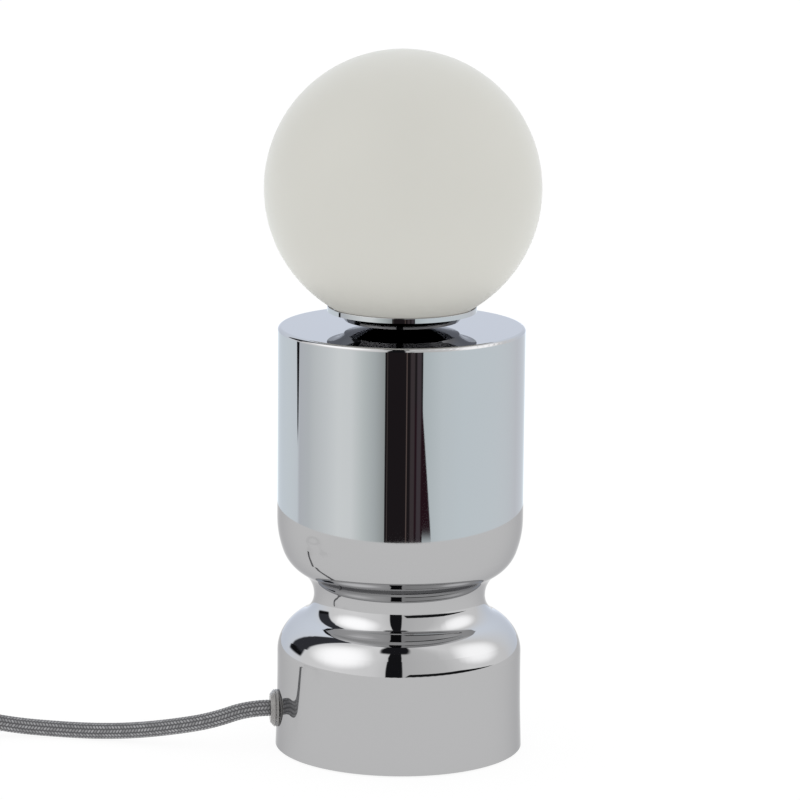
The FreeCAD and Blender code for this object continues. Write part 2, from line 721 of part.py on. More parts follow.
def lampholder_body():
    """Ceramic block with a hollow underside and two slots for the bulb's pins."""
    block = middle_box("holder_long", "holder_wide")
    piece = Piece("lampholder_body").padded("holder_high", block, offset="holder_z")
    corner = size("holder_long") / 2 - 0.01, size("holder_wide") / 2 - 0.01
    piece.rounded("holder_corner", lambda p: abs(p.x) > corner[0] and abs(p.y) > corner[1])
    piece.rounded("holder_edge", lambda p: p.z > size(HOLDER_TOP) - 0.01)
    for sign in "-+":
        low, high = (f"{sign}pin_pitch / 2 {way} slot_wide / 2" for way in "-+")
        piece.pocketed("slot_deep", box(low, high, "-slot_long / 2", "slot_long / 2"), offset=HOLDER_TOP)
    hollow = middle_box("hollow_long", "hollow_wide")
    piece.pocketed("hollow_deep", hollow, offset="holder_z", Reversed=True)
    piece.pocketed("2 * holder_wide", ("circle", "0", CROSS_Z, "cross_r + 0.05"), "XZ_Plane", Midplane=True)
    return piece


def holder_screws():
    """Two screws through the stirrup's arms into the ceramic body."""
    screws = []
    for label, sign in (("front_screw", "-"), ("back_screw", "+")):
        axis = (0, -1 if sign == "-" else 1, 0)
        face = ("0", f"{sign}(holder_wide / 2 + strap_sheet)", CROSS_Z)
        inside = ("0", f"{sign}(holder_wide / 2 - cross_deep)", CROSS_Z)
        long = "strap_sheet + cross_deep"
        head = primitive("Cylinder", label + "_head", face, axis, Radius="cross_head", Height="cross_high")
        shank = primitive("Cylinder", label + "_shank", inside, axis, Radius="cross_r", Height=long)
        screws.append(joined("MultiFuse", label, [head, shank]))
    return joined("Compound", "holder_screws", screws)


def holder_contacts():
    """Two bronze leaves beside the pin slots, with tails into the hollow underside."""
    leaves = [
        primitive(
            "Box",
            f"leaf_{side}",
            (f"{sign}pin_pitch / 2 - slot_wide / 2", "-leaf_wide / 2", f"{HOLDER_TOP} - slot_deep - 2"),
            Length="leaf_sheet",
            Width="leaf_wide",
            Height="slot_deep",
        )
        for side, sign in (("left", "-"), ("right", "+"))
    ]
    return joined("Compound", "holder_contacts", leaves)


node(holder_bracket())
node(lampholder_body())
node(holder_screws())
node(holder_contacts())

# ---------------------------------------------------------------- bulb

BULB_Z = f"{HOLDER_TOP} + bulb_gap"
COVER_Z = f"{BULB_Z} + bulb_foot"


def bulb_base():
    piece = Piece("bulb_base").turned(
        ("0", BULB_Z),
        ("bulb_r - 1.4", BULB_Z),
        ("bulb_r - 0.4", f"{BULB_Z} + 1.5"),
        ("bulb_r - 0.4", COVER_Z),
        ("0", COVER_Z),
    )
    return piece


def bulb_cover():
    """Frosted capsule, open at the bottom, with a round top."""
    wall_top = f"{COVER_Z} + bulb_long - bulb_r"
    return Piece("bulb_cover").turned(
        ("bulb_r - bulb_wall", COVER_Z),
        ("bulb_r", COVER_Z),
        ("bulb_r", wall_top),
        ("0", f"{COVER_Z} + bulb_long", "+bulb_r"),
        ("0", f"{COVER_Z} + bulb_long - bulb_wall"),
        ("bulb_r - bulb_wall", wall_top, "-bulb_r - bulb_wall"),
    )


def bulb_pins():
    """Two wire loops, each a flat hairpin of round wire."""
    loops = []
    for side, sign in (("left", "-"), ("right", "+")):
        legs = [
            primitive(
                "Cylinder",
                f"{side}_leg_{k}",
                (f"{sign}pin_pitch / 2", y, f"{BULB_Z} - loop_long"),
                Radius="loop_wire",
                Height="loop_long",
            )
            for k, y in enumerate(("-loop_r", "loop_r"))
        ]
        hairpin = primitive(
            "Torus",
            f"{side}_bend",
            (f"{sign}pin_pitch / 2", "0", f"{BULB_Z} - loop_long"),
            Radius1="loop_r",
            Radius2="loop_wire",
        )
        hairpin.Placement.Rotation = Rotation(Vector(0, 1, 0), Vector(0, 0, -1), Vector(-1, 0, 0), "XYZ")
        hairpin.Angle3 = 180
        loops.append(joined("MultiFuse", f"{side}_loop", [*legs, hairpin]))
    return joined("Compound", "bulb_pins", loops)


def bulb_board():
    """Circuit board that stands in the capsule, with its lights on both faces."""
    board = primitive(
        "Box",
        "board_sheet",
        ("-board_thick / 2", "-board_wide / 2", COVER_Z),
        Length="board_thick",
        Width="board_wide",
        Height="board_long",
    )
    lights = [
        primitive(
            "Box",
            f"light_{face}_{k}",
            (x, "-light_wide / 2", f"{COVER_Z} + {k + 0.8} * light_pitch"),
            Length="light_thick",
            Width="light_wide",
            Height="light_long",
        )
        for k in range(3)
        for face, x in (("front", "board_thick / 2"), ("back", "-board_thick / 2 - light_thick"))
    ]
    return joined("MultiFuse", "bulb_board", [board, *lights])


for make in (bulb_base, bulb_cover, bulb_pins, bulb_board):
    node(make())

# ---------------------------------------------------------------- glass globe


# One blown opal globe, kept as two halves that meet at the equator, so that each can follow the hollow.

INNER_R = "(globe_r - glass)"


def globe_crown():
    """Upper half of the globe."""
    return Piece("globe_crown").turned(
        ("globe_r", "globe_z"),
        ("0", "globe_z + globe_r", "+globe_r"),
        ("0", f"globe_z + {INNER_R}"),
        (INNER_R, "globe_z", f"-{INNER_R}"),
    )


def globe_bowl():
    """Lower half of the globe, with the round mouth underneath."""
    piece = Piece("globe_bowl").turned(
        ("mouth_r", "globe_z - sqrt(globe_r^2 - mouth_r^2)"),
        ("globe_r", "globe_z", "+globe_r"),
        (INNER_R, "globe_z"),
        ("mouth_r", f"globe_z - sqrt({INNER_R}^2 - mouth_r^2)", f"-{INNER_R}"),
    )
    low, edge = size("globe_z - globe_r + 12"), size("mouth_r") + 0.01
    return piece.rounded("mouth_edge", lambda p: p.z < low and math.hypot(p.x, p.y) < edge)


node(globe_crown())
node(globe_bowl())

# ---------------------------------------------------------------- cord gland


def cord_gland():
    """Clear bushing: rim against the wall, groove, chamfered front disc, and a shank through the wall."""
    rim = "gland_disc + gland_groove"
    piece = Piece("cord_gland").turned(
        ("cord_r + cord_play", "0"),
        ("gland_face", "0"),
        ("gland_r", "gland_slant"),
        ("gland_r", "gland_disc"),
        ("gland_r - groove_deep", "gland_disc"),
        ("gland_r - groove_deep", rim),
        ("gland_r", rim),
        ("gland_r", f"{rim} + gland_rim"),
        ("shank_r", f"{rim} + gland_rim"),
        ("shank_r", "shank_long"),
        ("cord_r + cord_play", "shank_long"),
    )
    piece.body.Placement.Rotation = Rotation(Vector(0, 1, 0), 90)
    return piece.placed(x="-gland_out", z="gland_z")


node(cord_gland())


def gland_nut():
    """Hexagon nut on the shank, inside the wall."""
    at = ("-base_r + wall + 0.5", "0", "gland_z")
    across, thick = "gland_flats / 2 / cos(30)", "gland_nut_thick"
    hexagon = primitive("Prism", "gland_hexagon", at, (1, 0, 0), Circumradius=across, Height=thick)
    hole = primitive("Cylinder", "gland_hole", at, (1, 0, 0), Radius="shank_r", Height=thick)
    return cut("gland_nut", hexagon, hole)


node(gland_nut())

# ---------------------------------------------------------------- inner wiring

SIDES = (("left", "-"), ("right", "+"))


def cord_clamp():
    """Saddle under the cord and a bridge over it, held on the iron weight by two screws."""
    sides = dict(Length="clamp_long", Width="clamp_wide")
    corner = ("clamp_x - clamp_long / 2", "-clamp_wide / 2")
    under = f"gland_z - ({BALLAST_TOP})"
    saddle = primitive("Box", "saddle", (*corner, BALLAST_TOP), Height=under, **sides)
    bridge = primitive("Box", "bridge", (*corner, "gland_z + clamp_slit"), Height="bridge_high", **sides)
    along, long = ("clamp_x - clamp_long", "0", "gland_z"), "2 * clamp_long"
    groove = primitive("Cylinder", "clamp_groove", along, (1, 0, 0), Radius="cord_r", Height=long)
    both = joined("Compound", "clamp_halves", [saddle, bridge])
    holes = [
        primitive(
            "Cylinder",
            f"clamp_hole_{side}",
            ("clamp_x", f"{sign}clamp_pitch / 2", BALLAST_TOP),
            Radius="clamp_hole",
            Height="2 * clamp_screw_long",
        )
        for side, sign in SIDES
    ]
    return cut("cord_clamp", both, joined("MultiFuse", "clamp_tools", [groove, *holes]))


def clamp_screws():
    """Two screws through the clamp into the iron weight."""
    top = "gland_z + clamp_slit + bridge_high"
    screws = []
    for side, sign in SIDES:
        at = ("clamp_x", f"{sign}clamp_pitch / 2")
        name, long, high = f"clamp_screw_{side}", "clamp_screw_long", "clamp_head_high"
        end = (*at, f"{top} - {long}")
        shank = primitive("Cylinder", f"{name}_shank", end, Radius="clamp_screw_r", Height=long)
        head = primitive("Cylinder", f"{name}_head", (*at, top), Radius="clamp_head", Height=high)
        screws.append(joined("MultiFuse", name, [shank, head]))
    return joined("Compound", "clamp_screws", screws)


POLE_Z = BALLAST_TOP + " + pole_z"
GRUB_SPOTS = [
    (f"{side}_{end}", f"block_x {way} grub_pitch / 2", f"{sign}pole_pitch / 2")
    for side, sign in SIDES
    for end, way in (("in", "-"), ("out", "+"))
]


def terminal_block():
    """Two-pole block: a moulded body with a way through for each wire and a well over each screw."""
    corner = ("block_x - block_long / 2", "-block_wide / 2", BALLAST_TOP)
    sides = dict(Length="block_long", Width="block_wide", Height="block_high")
    body = primitive("Box", "block_body", corner, **sides)
    tools = [
        primitive(
            "Cylinder",
            f"way_{side}",
            ("block_x - block_long", f"{sign}pole_pitch / 2", POLE_Z),
            (1, 0, 0),
            Radius="insert_r",
            Height="2 * block_long",
        )
        for side, sign in SIDES
    ]
    tools += [
        primitive("Cylinder", f"well_{spot}", (x, y, POLE_Z), Radius="well_r", Height="block_high")
        for spot, x, y in GRUB_SPOTS
    ]
    return cut("terminal_block", body, joined("MultiFuse", "block_tools", tools))


def terminal_inserts():
    """Brass tubes in the block, drilled for the wires."""
    tubes = []
    for side, sign in SIDES:
        at = ("block_x - insert_long / 2", f"{sign}pole_pitch / 2", POLE_Z)
        long = "insert_long"
        outer = primitive("Cylinder", f"insert_{side}", at, (1, 0, 0), Radius="insert_r", Height=long)
        bore = primitive("Cylinder", f"bore_{side}", at, (1, 0, 0), Radius="insert_bore", Height=long)
        tubes.append(cut(f"tube_{side}", outer, bore))
    return joined("Compound", "terminal_inserts", tubes)


def terminal_screws():
    """Four grub screws that stand on the brass tubes, in their wells."""
    foot = f"{POLE_Z} + insert_r"
    screws = [
        primitive("Cylinder", f"grub_{spot}", (x, y, foot), Radius="grub_r", Height="grub_long")
        for spot, x, y in GRUB_SPOTS
    ]
    return joined("Compound", "terminal_screws", screws)


for make in (cord_clamp, clamp_screws, terminal_block, terminal_inserts, terminal_screws):
    node(make())

# ---------------------------------------------------------------- tubes: cords and wires


def bend(start, corner, end):
    """Arc that leaves start towards corner and arrives at end from it; both are as far from the corner."""
    half = (end - start) / 2
    middle = start + half
    turn = half.getAngle(corner - start)
    if turn < 1e-6:
        return Part.LineSegment(start, end)
    return Part.Arc(start, middle + (corner - middle).normalize() * half.Length * math.tan(turn / 2), end)


def swept(label, edges, radius):
    """Round tube along a chain of edges; its volume is held against its section times its length."""
    wire = Part.Wire(edges)
    start = edges[0].valueAt(edges[0].FirstParameter)
    ring = Part.Wire(Part.Circle(start, edges[0].tangentAt(edges[0].FirstParameter), radius).toShape())
    tube = wire.makePipeShell([ring], True, False)
    share = tube.Volume / (math.pi * radius**2 * wire.Length)
    print(f"{label}: length {wire.Length:.1f}, volume over section times length {share:.4f}")
    if abs(share - 1) > 0.01:
        raise RuntimeError(f"{label}: the tube isn't whole")
    return tube


def route_edges(label, route, radius):
    """Straight runs along a route, joined by arcs as large as the runs allow."""
    points = [Vector(*p) for p in route]
    edges, leaving, radii = [], points[0], []
    for before, corner, after in zip(points, points[1:], points[2:]):
        reach = 0.45 * min((corner - before).Length, (after - corner).Length)
        arrive = corner + (before - corner).normalize() * reach
        depart = corner + (after - corner).normalize() * reach
        edges += [Part.LineSegment(leaving, arrive).toShape(), bend(arrive, corner, depart).toShape()]
        radii.append(reach / math.tan((after - corner).getAngle(corner - before) / 2))
        leaving = depart
    edges.append(Part.LineSegment(leaving, points[-1]).toShape())
    if radii:
        print(f"{label}: bend radii in diameters", [round(r / radius / 2, 1) for r in radii])
    return edges


def solid_feature(label, shape):
    made = doc.addObject("Part::Feature", label)
    made.Label = label
    made.Shape = shape
    return made


def tube(label, route, radius):
    return solid_feature(label, swept(label, route_edges(label, route, radius), radius))


CORD_R = size("cord_r")
EXIT = (-size("gland_out"), 0.0, size("gland_z"))
JACKET_END = size("clamp_x + clamp_long / 2") + 0.5
node(tube("inner_cord", [EXIT, (JACKET_END, 0.0, EXIT[2])], CORD_R))


def wires(label, routes, radius):
    """Several thin wires in one node."""
    made = []
    for k, route in enumerate(routes):
        name = f"{label} {k}"
        made.append(swept(name, route_edges(name, route, radius), radius))
    return solid_feature(label, Part.makeCompound(made))


CORE_R = size("core_r")
BLOCK_X, POLE_Y, WAY_Z = size("block_x"), size("pole_pitch") / 2, size(POLE_Z)


def cord_core(side):
    """From the end of the cord's braid into the terminal block."""
    start = JACKET_END + size("core_gap")
    return [
        (start, 1.5 * side, EXIT[2]),
        (start + 1.7, 1.8 * side, EXIT[2]),
        (BLOCK_X - 9.5, POLE_Y * side, WAY_Z),
        (BLOCK_X - 5.5, POLE_Y * side, WAY_Z),
    ]


node(wires("cord_cores", [cord_core(side) for side in (-1, 1)], CORE_R))


def lamp_wire(side):
    """From the terminal block through the port, up the stem and on to a contact of the lampholder."""
    port, holder = size("port_z"), size("holder_z")
    leaf = size("pin_pitch") / 2 * side - 0.9
    return [
        (BLOCK_X + 4.5, POLE_Y * side, WAY_Z),
        (BLOCK_X + 9.5, POLE_Y * side, WAY_Z),
        (-6.5, 1.6 * side, port - 4.5),
        (0.0, 1.5 * side, port + 9.0),
        (0.0, 1.5 * side, holder - 2.0),
        (leaf, 1.5 * side, holder + 1.5),
        (leaf, 1.5 * side, holder + 4.0),
    ]


node(wires("lamp_wires", [lamp_wire(side) for side in (-1, 1)], size("lamp_wire_r")))

# ---------------------------------------------------------------- switch on the cord

HALF_LONG, HALF_WIDE = "switch_long / 2", "switch_wide / 2"
SCREW_SPOTS = (("-post_x", "post_y"), ("post_x", "post_y"))


def rounded_box(x, y, radius):
    """Outline of a rectangle with round corners, from its half sides."""
    near_x, near_y = f"({x} - {radius})", f"({y} - {radius})"
    return (
        (near_x, f"-({y})"),
        (f"{x}", f"-{near_y}", "+" + radius),
        (f"{x}", near_y),
        (near_x, f"{y}", "+" + radius),
        (f"-{near_x}", f"{y}"),
        (f"-({x})", near_y, "+" + radius),
        (f"-({x})", f"-{near_y}"),
        (f"-{near_x}", f"-({y})", "+" + radius),
    )


OUTSIDE = (HALF_LONG, HALF_WIDE, "switch_corner")
INSIDE = (f"{HALF_LONG} - switch_wall", f"{HALF_WIDE} - switch_wall", "switch_inner")
CORD_WAY = ("circle", "0", "switch_split", "cord_r")


def switch_base():
    """Lower half of the casing, with cord channels, ribs that hold the cord, and two screw posts."""
    piece = Piece("switch_base").padded("switch_split", rounded_box(*OUTSIDE))
    piece.rounded("switch_foot", lambda p: p.z < 0.01)
    piece.pocketed("switch_split - switch_wall", rounded_box(*INSIDE), offset="switch_split")
    for sign in "-+":
        near, far = (f"{sign}rib_x {way} rib_wide / 2" for way in "-+")
        rib = box(near, far, f"-{HALF_WIDE} + 1", f"{HALF_WIDE} - 1")
        piece.padded("switch_split - switch_wall", rib, offset="1")
    for x, y in SCREW_SPOTS:
        piece.padded("switch_split - 1", ("circle", x, y, "post_r"), offset="1")
    for x, y in SCREW_SPOTS:
        piece.pocketed("recess_deep", ("circle", x, y, "recess_r"), Reversed=True)
        piece.pocketed("switch_split", ("circle", x, y, "post_hole"), Reversed=True)
    piece.pocketed("switch_long + 2", CORD_WAY, "YZ_Plane", Midplane=True)
    return piece.placed(x="switch_x", y="switch_y")


def switch_cover():
    """Upper half of the casing, with the rocker's window, two cheeks for its pivot, and two screw posts."""
    high = "switch_high - switch_split"
    piece = Piece("switch_cover").padded(high, rounded_box(*OUTSIDE), offset="switch_split")
    piece.rounded("switch_crown", lambda p: p.z > size("switch_high") - 0.01)
    hollow = f"{high} - switch_wall"
    piece.pocketed(hollow, rounded_box(*INSIDE), offset="switch_split", Reversed=True)
    window = rounded_box("window_long / 2", "rocker_wide / 2 + window_play", "1")
    piece.pocketed("3 * switch_wall", window, offset="switch_high + 1")
    for sign in "-+":
        middle = f"{sign}(rocker_wide / 2 + window_play + cheek_thick / 2)"
        near, far = f"{middle} - cheek_thick / 2", f"{middle} + cheek_thick / 2"
        cheek = box("-cheek_long / 2", "cheek_long / 2", near, far)
        piece.padded("switch_high - 1 - cheek_low", cheek, offset="cheek_low")
    for x, y in SCREW_SPOTS:
        piece.padded(hollow + " + 1", ("circle", x, y, "post_r"), offset="switch_split")
    for x, y in SCREW_SPOTS:
        piece.pocketed(hollow, ("circle", x, y, "post_bite"), offset="switch_split", Reversed=True)
    pivot = ("circle", "0", "rocker_z", "pivot_r + pivot_play")
    piece.pocketed("rocker_wide + 6", pivot, "XZ_Plane", Midplane=True)
    piece.pocketed("switch_long + 2", CORD_WAY, "YZ_Plane", Midplane=True)
    return piece.placed(x="switch_x", y="switch_y")


def switch_rocker():
    """Rocker: ends round about the pivot, a shallow V on top, and a pivot pin on each side."""
    up = ("rocker_r * cos(36)", "rocker_r * sin(36)")
    down = ("rocker_r * cos(10)", "-rocker_r * sin(10)")
    profile = (
        down,
        (*up, "+rocker_r"),
        ("0", "rocker_valley"),
        (f"-{up[0]}", up[1]),
        (f"-{down[0]}", down[1], "+rocker_r"),
    )
    piece = Piece("switch_rocker").padded("rocker_wide", profile, "XZ_Plane", Midplane=True)
    valley, side = size("rocker_valley") - 0.01, size("rocker_wide") / 2 - 0.01
    piece.rounded("rocker_edge", lambda p: p.z > valley and abs(p.y) > side)
    pivot = ("circle", "0", "0", "pivot_r")
    piece.padded("rocker_wide + 2 * pivot_out", pivot, "XZ_Plane", Midplane=True)
    piece.placed("switch_x", "switch_y", "rocker_z", Rotation(Vector(0, -1, 0), size("rocker_tilt")))
    return piece


def switch_contacts():
    """Two brass terminals on the floor of the base, each with an upright contact strip."""
    pieces = []
    for k, sign in enumerate("-+"):
        block = primitive(
            "Box",
            f"contact_block_{k}",
            (f"switch_x {sign} 13 - 3", "switch_y - 10", "switch_wall"),
            Length="6",
            Width="5",
            Height="4.6",
        )
        strip = primitive(
            "Box",
            f"contact_strip_{k}",
            (f"switch_x {sign} 7 - 4", "switch_y - 8", "switch_wall"),
            Length="8",
            Width="1",
            Height="3.4",
        )
        pieces.append(joined("MultiFuse", f"contact_{k}", [block, strip]))
    return joined("Compound", "switch_contacts", pieces)


node(switch_base())
node(switch_cover())
node(switch_rocker())
node(switch_contacts())


def switch_screw(k, x, y):
    """Screw that goes up into the cover, with its head in the base's recess."""
    at = (f"switch_x + {x}", f"switch_y + {y}")
    low = (*at, "recess_deep - post_head_high")
    head = primitive("Cylinder", f"switch_head_{k}", low, Radius="post_head", Height="post_head_high")
    top = (*at, "recess_deep")
    shank = primitive("Cylinder", f"switch_shank_{k}", top, Radius="post_bite", Height="post_screw_long")
    return joined("MultiFuse", f"switch_screw_{k}", [head, shank])


screws = [switch_screw(k, *spot) for k, spot in enumerate(SCREW_SPOTS)]
node(joined("Compound", "switch_screws", screws))

SWITCH = (size("switch_x"), size("switch_y"), size("switch_split"))


def switch_wires():
    """One core that runs on past the rocker, and one from each cord end to its terminal."""
    x, y, z = SWITCH
    floor = z - 3.7
    end = size(HALF_LONG) - size("switch_grip") - size("core_gap")
    half = [(end, 1.5, z), (end - 3, 2.0, z - 0.4), (14, 9.0, z - 3), (5, 9.6, z - 3.2)]
    past = half + [(-p[0], *p[1:]) for p in reversed(half)]
    stubs = [
        [(way * end, -1.5, z), (way * 19, -1.2, z - 1.6), (way * 13, -0.6, floor), (way * 13, -5.0, floor)]
        for way in (-1, 1)
    ]
    routes = [[(x + p[0], y + p[1], p[2]) for p in route] for route in (past, *stubs)]
    return wires("switch_cores", routes, CORE_R)


node(switch_wires())

# ---------------------------------------------------------------- plug


PLUG_WAY = Rotation(Vector(0, 0, 1), -size("plug_turn"))


def plug_body():
    """Flat two-pin plug: a grip that widens from the strain relief to its face."""
    half, face = "plug_wide / 2", "relief_long + plug_long"
    back, start, end = "relief_long - 2", "relief_long + 2", "relief_long + 2 + flare_long"
    grip = (
        (back, "-plug_neck"),
        (start, "-plug_neck"),
        (end, f"-{half}", "-plug_flare"),
        (face, f"-{half}"),
        (face, half),
        (end, half),
        (start, "plug_neck", "-plug_flare"),
        (back, "plug_neck"),
    )
    piece = Piece("plug_body").padded("plug_thick", grip)
    low, high = 0.01, size("plug_thick") - 0.01
    piece.rounded("plug_edge", lambda p: (p.z < low or p.z > high) and p.x < size(face) - 0.01)
    sleeve = [("0", "0"), ("0", "cord_r + relief_wall")]
    for k in range(4):
        ring_x = f"(relief_first + {k} * relief_ring)"
        radius = f"cord_r + relief_wall + relief_grow * {ring_x}"
        sleeve += [
            (ring_x, radius),
            (ring_x, f"{radius} - relief_deep"),
            (f"{ring_x} + relief_notch", f"{radius} - relief_deep"),
            (f"{ring_x} + relief_notch", radius),
        ]
    sleeve += [("relief_long", "cord_r + 2 * relief_wall"), ("relief_long", "0")]
    drawn = piece.sketch("XZ_Plane")
    drawn.setExpression("AttachmentOffset.Base.y", bound("plug_thick / 2"))
    outline(drawn, sleeve)
    piece.feature("Revolution", drawn, ReferenceAxis=(drawn, ["H_Axis"]), Angle=360)
    for sign in "-+":
        hole = ("circle", f"{sign}prong_pitch / 2", "plug_thick / 2", "prong_r - core_step")
        piece.pocketed("prong_root", hole, "YZ_Plane", face)
    return piece.placed("plug_x", "plug_y", rotation=PLUG_WAY)


def in_plug(label, pieces):
    """Several pieces that are drawn in the plug's own frame, as one node."""
    made = joined("Compound", label, pieces)
    made.Placement.Rotation = PLUG_WAY
    made.setExpression("Placement.Base.x", bound("plug_x"))
    made.setExpression("Placement.Base.y", bound("plug_y"))
    return made


def prongs(label, start, long, radius, bore=None):
    """Two round pieces beside each other on the plug's face."""
    pieces = []
    for k, sign in enumerate("-+"):
        at = (f"relief_long + plug_long + {start}", f"{sign}prong_pitch / 2", "plug_thick / 2")
        rod = primitive("Cylinder", f"{label}_{k}", at, (1, 0, 0), Radius=radius, Height=long)
        if bore:
            core = primitive("Cylinder", f"{label}_bore_{k}", at, (1, 0, 0), Radius=bore, Height=long)
            rod = cut(f"{label}_tube_{k}", rod, core)
        pieces.append(rod)
    return pieces


node(plug_body())
cores = prongs("prong_core", "-prong_root", "prong_root + sleeve_long", "prong_r - core_step")
tips = prongs("prong_tip", "sleeve_long", "prong_long - sleeve_long", "prong_r")
whole = [joined("MultiFuse", f"prong_{k}", list(pair)) for k, pair in enumerate(zip(cores, tips))]
node(in_plug("plug_pins", whole))
sleeves = prongs("sleeve", "0", "sleeve_long", "prong_r - sleeve_step", "prong_r - core_step")
node(in_plug("plug_sleeves", sleeves))

# ---------------------------------------------------------------- cord: free stretches and the coil

PITCH, TURNS = size("coil_pitch"), size("coil_turns") * 2 * math.pi
MIDDLE = Vector(size("coil_x"), 0, 0)
ROUNDING = math.pi / 4  # the turn over which the spiral stops running in and starts running out


def wound(turn):
    """Point and direction of the wound cord after a turn in radians: in on the floor, up, out on top."""
    away = turn - TURNS / 2
    inner = size("coil_mean") - PITCH * TURNS / 2 / (4 * math.pi)
    if abs(away) > ROUNDING:
        reach, drift = abs(away), math.copysign(1, away)
    else:
        reach, drift = away**2 / (2 * ROUNDING) + ROUNDING / 2, away / ROUNDING
    radius, drift = inner + PITCH / (2 * math.pi) * reach, PITCH / (2 * math.pi) * drift
    share = min(max(away / math.pi + 0.5, 0), 1)
    height = CORD_R + PITCH * share**2 * (3 - 2 * share)
    climb = PITCH * 6 * share * (1 - share) / math.pi
    out = Vector(math.cos(turn + math.pi / 2), math.sin(turn + math.pi / 2), 0)
    along = Vector(-out.y, out.x, 0)
    way = out * drift + along * radius + Vector(0, 0, climb)
    return MIDDLE + out * radius + Vector(0, 0, height), way.normalize()


def biarc(start, start_way, end, end_way):
    """Two arcs that join in one direction, from one point and direction to another."""
    gap, both = end - start, start_way + end_way
    square, mixed = 2 * (1 - start_way.dot(end_way)), 2 * gap.dot(both)
    reach = (-mixed + math.sqrt(mixed**2 + 4 * square * gap.dot(gap))) / (2 * square)
    first, last = start + start_way * reach, end - end_way * reach
    meet = (first + last) / 2
    return [bend(start, first, meet).toShape(), bend(meet, last, end).toShape()]


def coil_path():
    """The coil's edges: a straight end, biarcs of a quarter turn, and a straight end."""
    count = round(TURNS / (math.pi / 2))
    marks = [wound(TURNS * k / count) for k in range(count + 1)]
    edges = [Part.LineSegment(marks[0][0] - marks[0][1] * 2 * CORD_R, marks[0][0]).toShape()]
    for before, after in zip(marks, marks[1:]):
        edges += biarc(*before, *after)
    edges.append(Part.LineSegment(marks[-1][0], marks[-1][0] + marks[-1][1] * 2 * CORD_R).toShape())
    return edges


def least_gap(edges):
    """Least space between the turns, on points, each against all that lie three quarters of a turn on."""
    points = [p for edge in edges for p in edge.discretize(21)[:-1]]
    apart = 120
    pairs = ((p, q) for k, p in enumerate(points) for q in points[k + apart :])
    return min((p - q).Length for p, q in pairs) - 2 * CORD_R


coil_edges = coil_path()
print("cord_coil: least gap to itself", round(least_gap(coil_edges), 2))
coil_start, coil_start_way = wound(0)
coil_end, coil_end_way = wound(TURNS)
coil_start -= coil_start_way * 2 * CORD_R
coil_end += coil_end_way * 2 * CORD_R

LAMP_SIDE = [
    EXIT,
    (-66.5, 0.0, 17.3),
    (-82.0, 0.8, 11.8),
    (-99.0, 4.5, 8.2),
    (-117.0, 10.8, 4.9),
    (-134.0, 16.4, 3.4),
    (-151.0, 21.2, 3.4),
    (-168.5, 24.6, 4.4),
    (-186.0, 25.5, 8.0),
    (-202.0, 25.5, 8.0),
]
MAINS_SIDE = [
    (-248.0, 25.5, 8.0),
    (-263.0, 25.5, 8.0),
    (-278.5, 29.4, 4.6),
    (-293.0, 37.2, 3.4),
    (-308.0, 46.6, 3.4),
    tuple(coil_start - coil_start_way * 14),
    tuple(coil_start),
]
TAIL = [
    tuple(coil_end),
    tuple(coil_end + coil_end_way * 13),
    (-309.0, -47.5, 9.6),
    (-293.0, -41.5, 7.9),
    (-277.5, -35.96, 6.85),
    (-262.0, -38.0, 6.85),
]
node(tube("cord_lamp_side", LAMP_SIDE, CORD_R))
node(tube("cord_mains_side", MAINS_SIDE, CORD_R))
node(solid_feature("cord_coil", swept("cord_coil", coil_edges, CORD_R)))
node(tube("cord_tail", TAIL, CORD_R))

# ---------------------------------------------------------------- check and export

doc.recompute()
for made in doc.Objects:
    if {"Invalid", "Error"} & set(made.State):
        raise RuntimeError(f"{made.Label}: {made.State}")
for made in nodes:
    if made.Shape.isNull() or not made.Shape.isValid():
        raise RuntimeError(f"{made.Label}: no valid shape")
os.makedirs("parts", exist_ok=True)
for made in nodes:
    made.Shape.exportStep(f"parts/{made.Label}.step")
    print(made.Label, round(made.Shape.Volume, 1), len(made.Shape.Solids))
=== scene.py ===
import math

import bpy
import numpy as np
from bpy.props import FloatProperty, FloatVectorProperty, IntProperty, PointerProperty
from bpy.types import Operator, Panel, PropertyGroup
from mathutils import Matrix, Vector


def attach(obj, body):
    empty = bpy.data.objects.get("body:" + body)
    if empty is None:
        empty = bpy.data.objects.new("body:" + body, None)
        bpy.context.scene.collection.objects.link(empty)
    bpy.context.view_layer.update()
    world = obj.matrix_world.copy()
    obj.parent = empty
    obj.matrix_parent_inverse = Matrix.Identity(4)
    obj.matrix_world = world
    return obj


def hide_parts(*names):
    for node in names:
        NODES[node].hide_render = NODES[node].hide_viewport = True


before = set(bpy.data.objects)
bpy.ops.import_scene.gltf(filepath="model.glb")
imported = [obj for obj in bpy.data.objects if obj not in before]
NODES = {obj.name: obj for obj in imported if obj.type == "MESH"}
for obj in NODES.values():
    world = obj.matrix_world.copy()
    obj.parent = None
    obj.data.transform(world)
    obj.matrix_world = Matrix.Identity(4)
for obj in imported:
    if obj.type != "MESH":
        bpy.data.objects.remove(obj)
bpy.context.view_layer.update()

bl_info = {
    "name": "Globe table lamp",
    "version": (1, 0, 0),
    "blender": (4, 5, 0),
    "location": "3D View > Sidebar > Lamp",
    "description": "Dresses the solids of a glass globe table lamp with finishes, cords and a studio",
    "category": "Object",
}

TAU = 2 * math.pi
DEGREES = 180 / math.pi
RAMP_TOP = 4.0  # brightness that a ramp's 1 stands for


# ---------------------------------------------------------------- sizes and colours


def colour(name, description, default):
    return FloatVectorProperty(
        name=name, description=description, default=default, size=3, min=0, max=1, subtype="COLOR"
    )


def length(name, description, default):
    return FloatProperty(name=name, description=description, default=default, unit="LENGTH")


def count(name, description, default):
    return IntProperty(name=name, description=description, default=default, min=1)


def share(name, description, default):
    return FloatProperty(name=name, description=description, default=default, min=0, max=1, subtype="FACTOR")


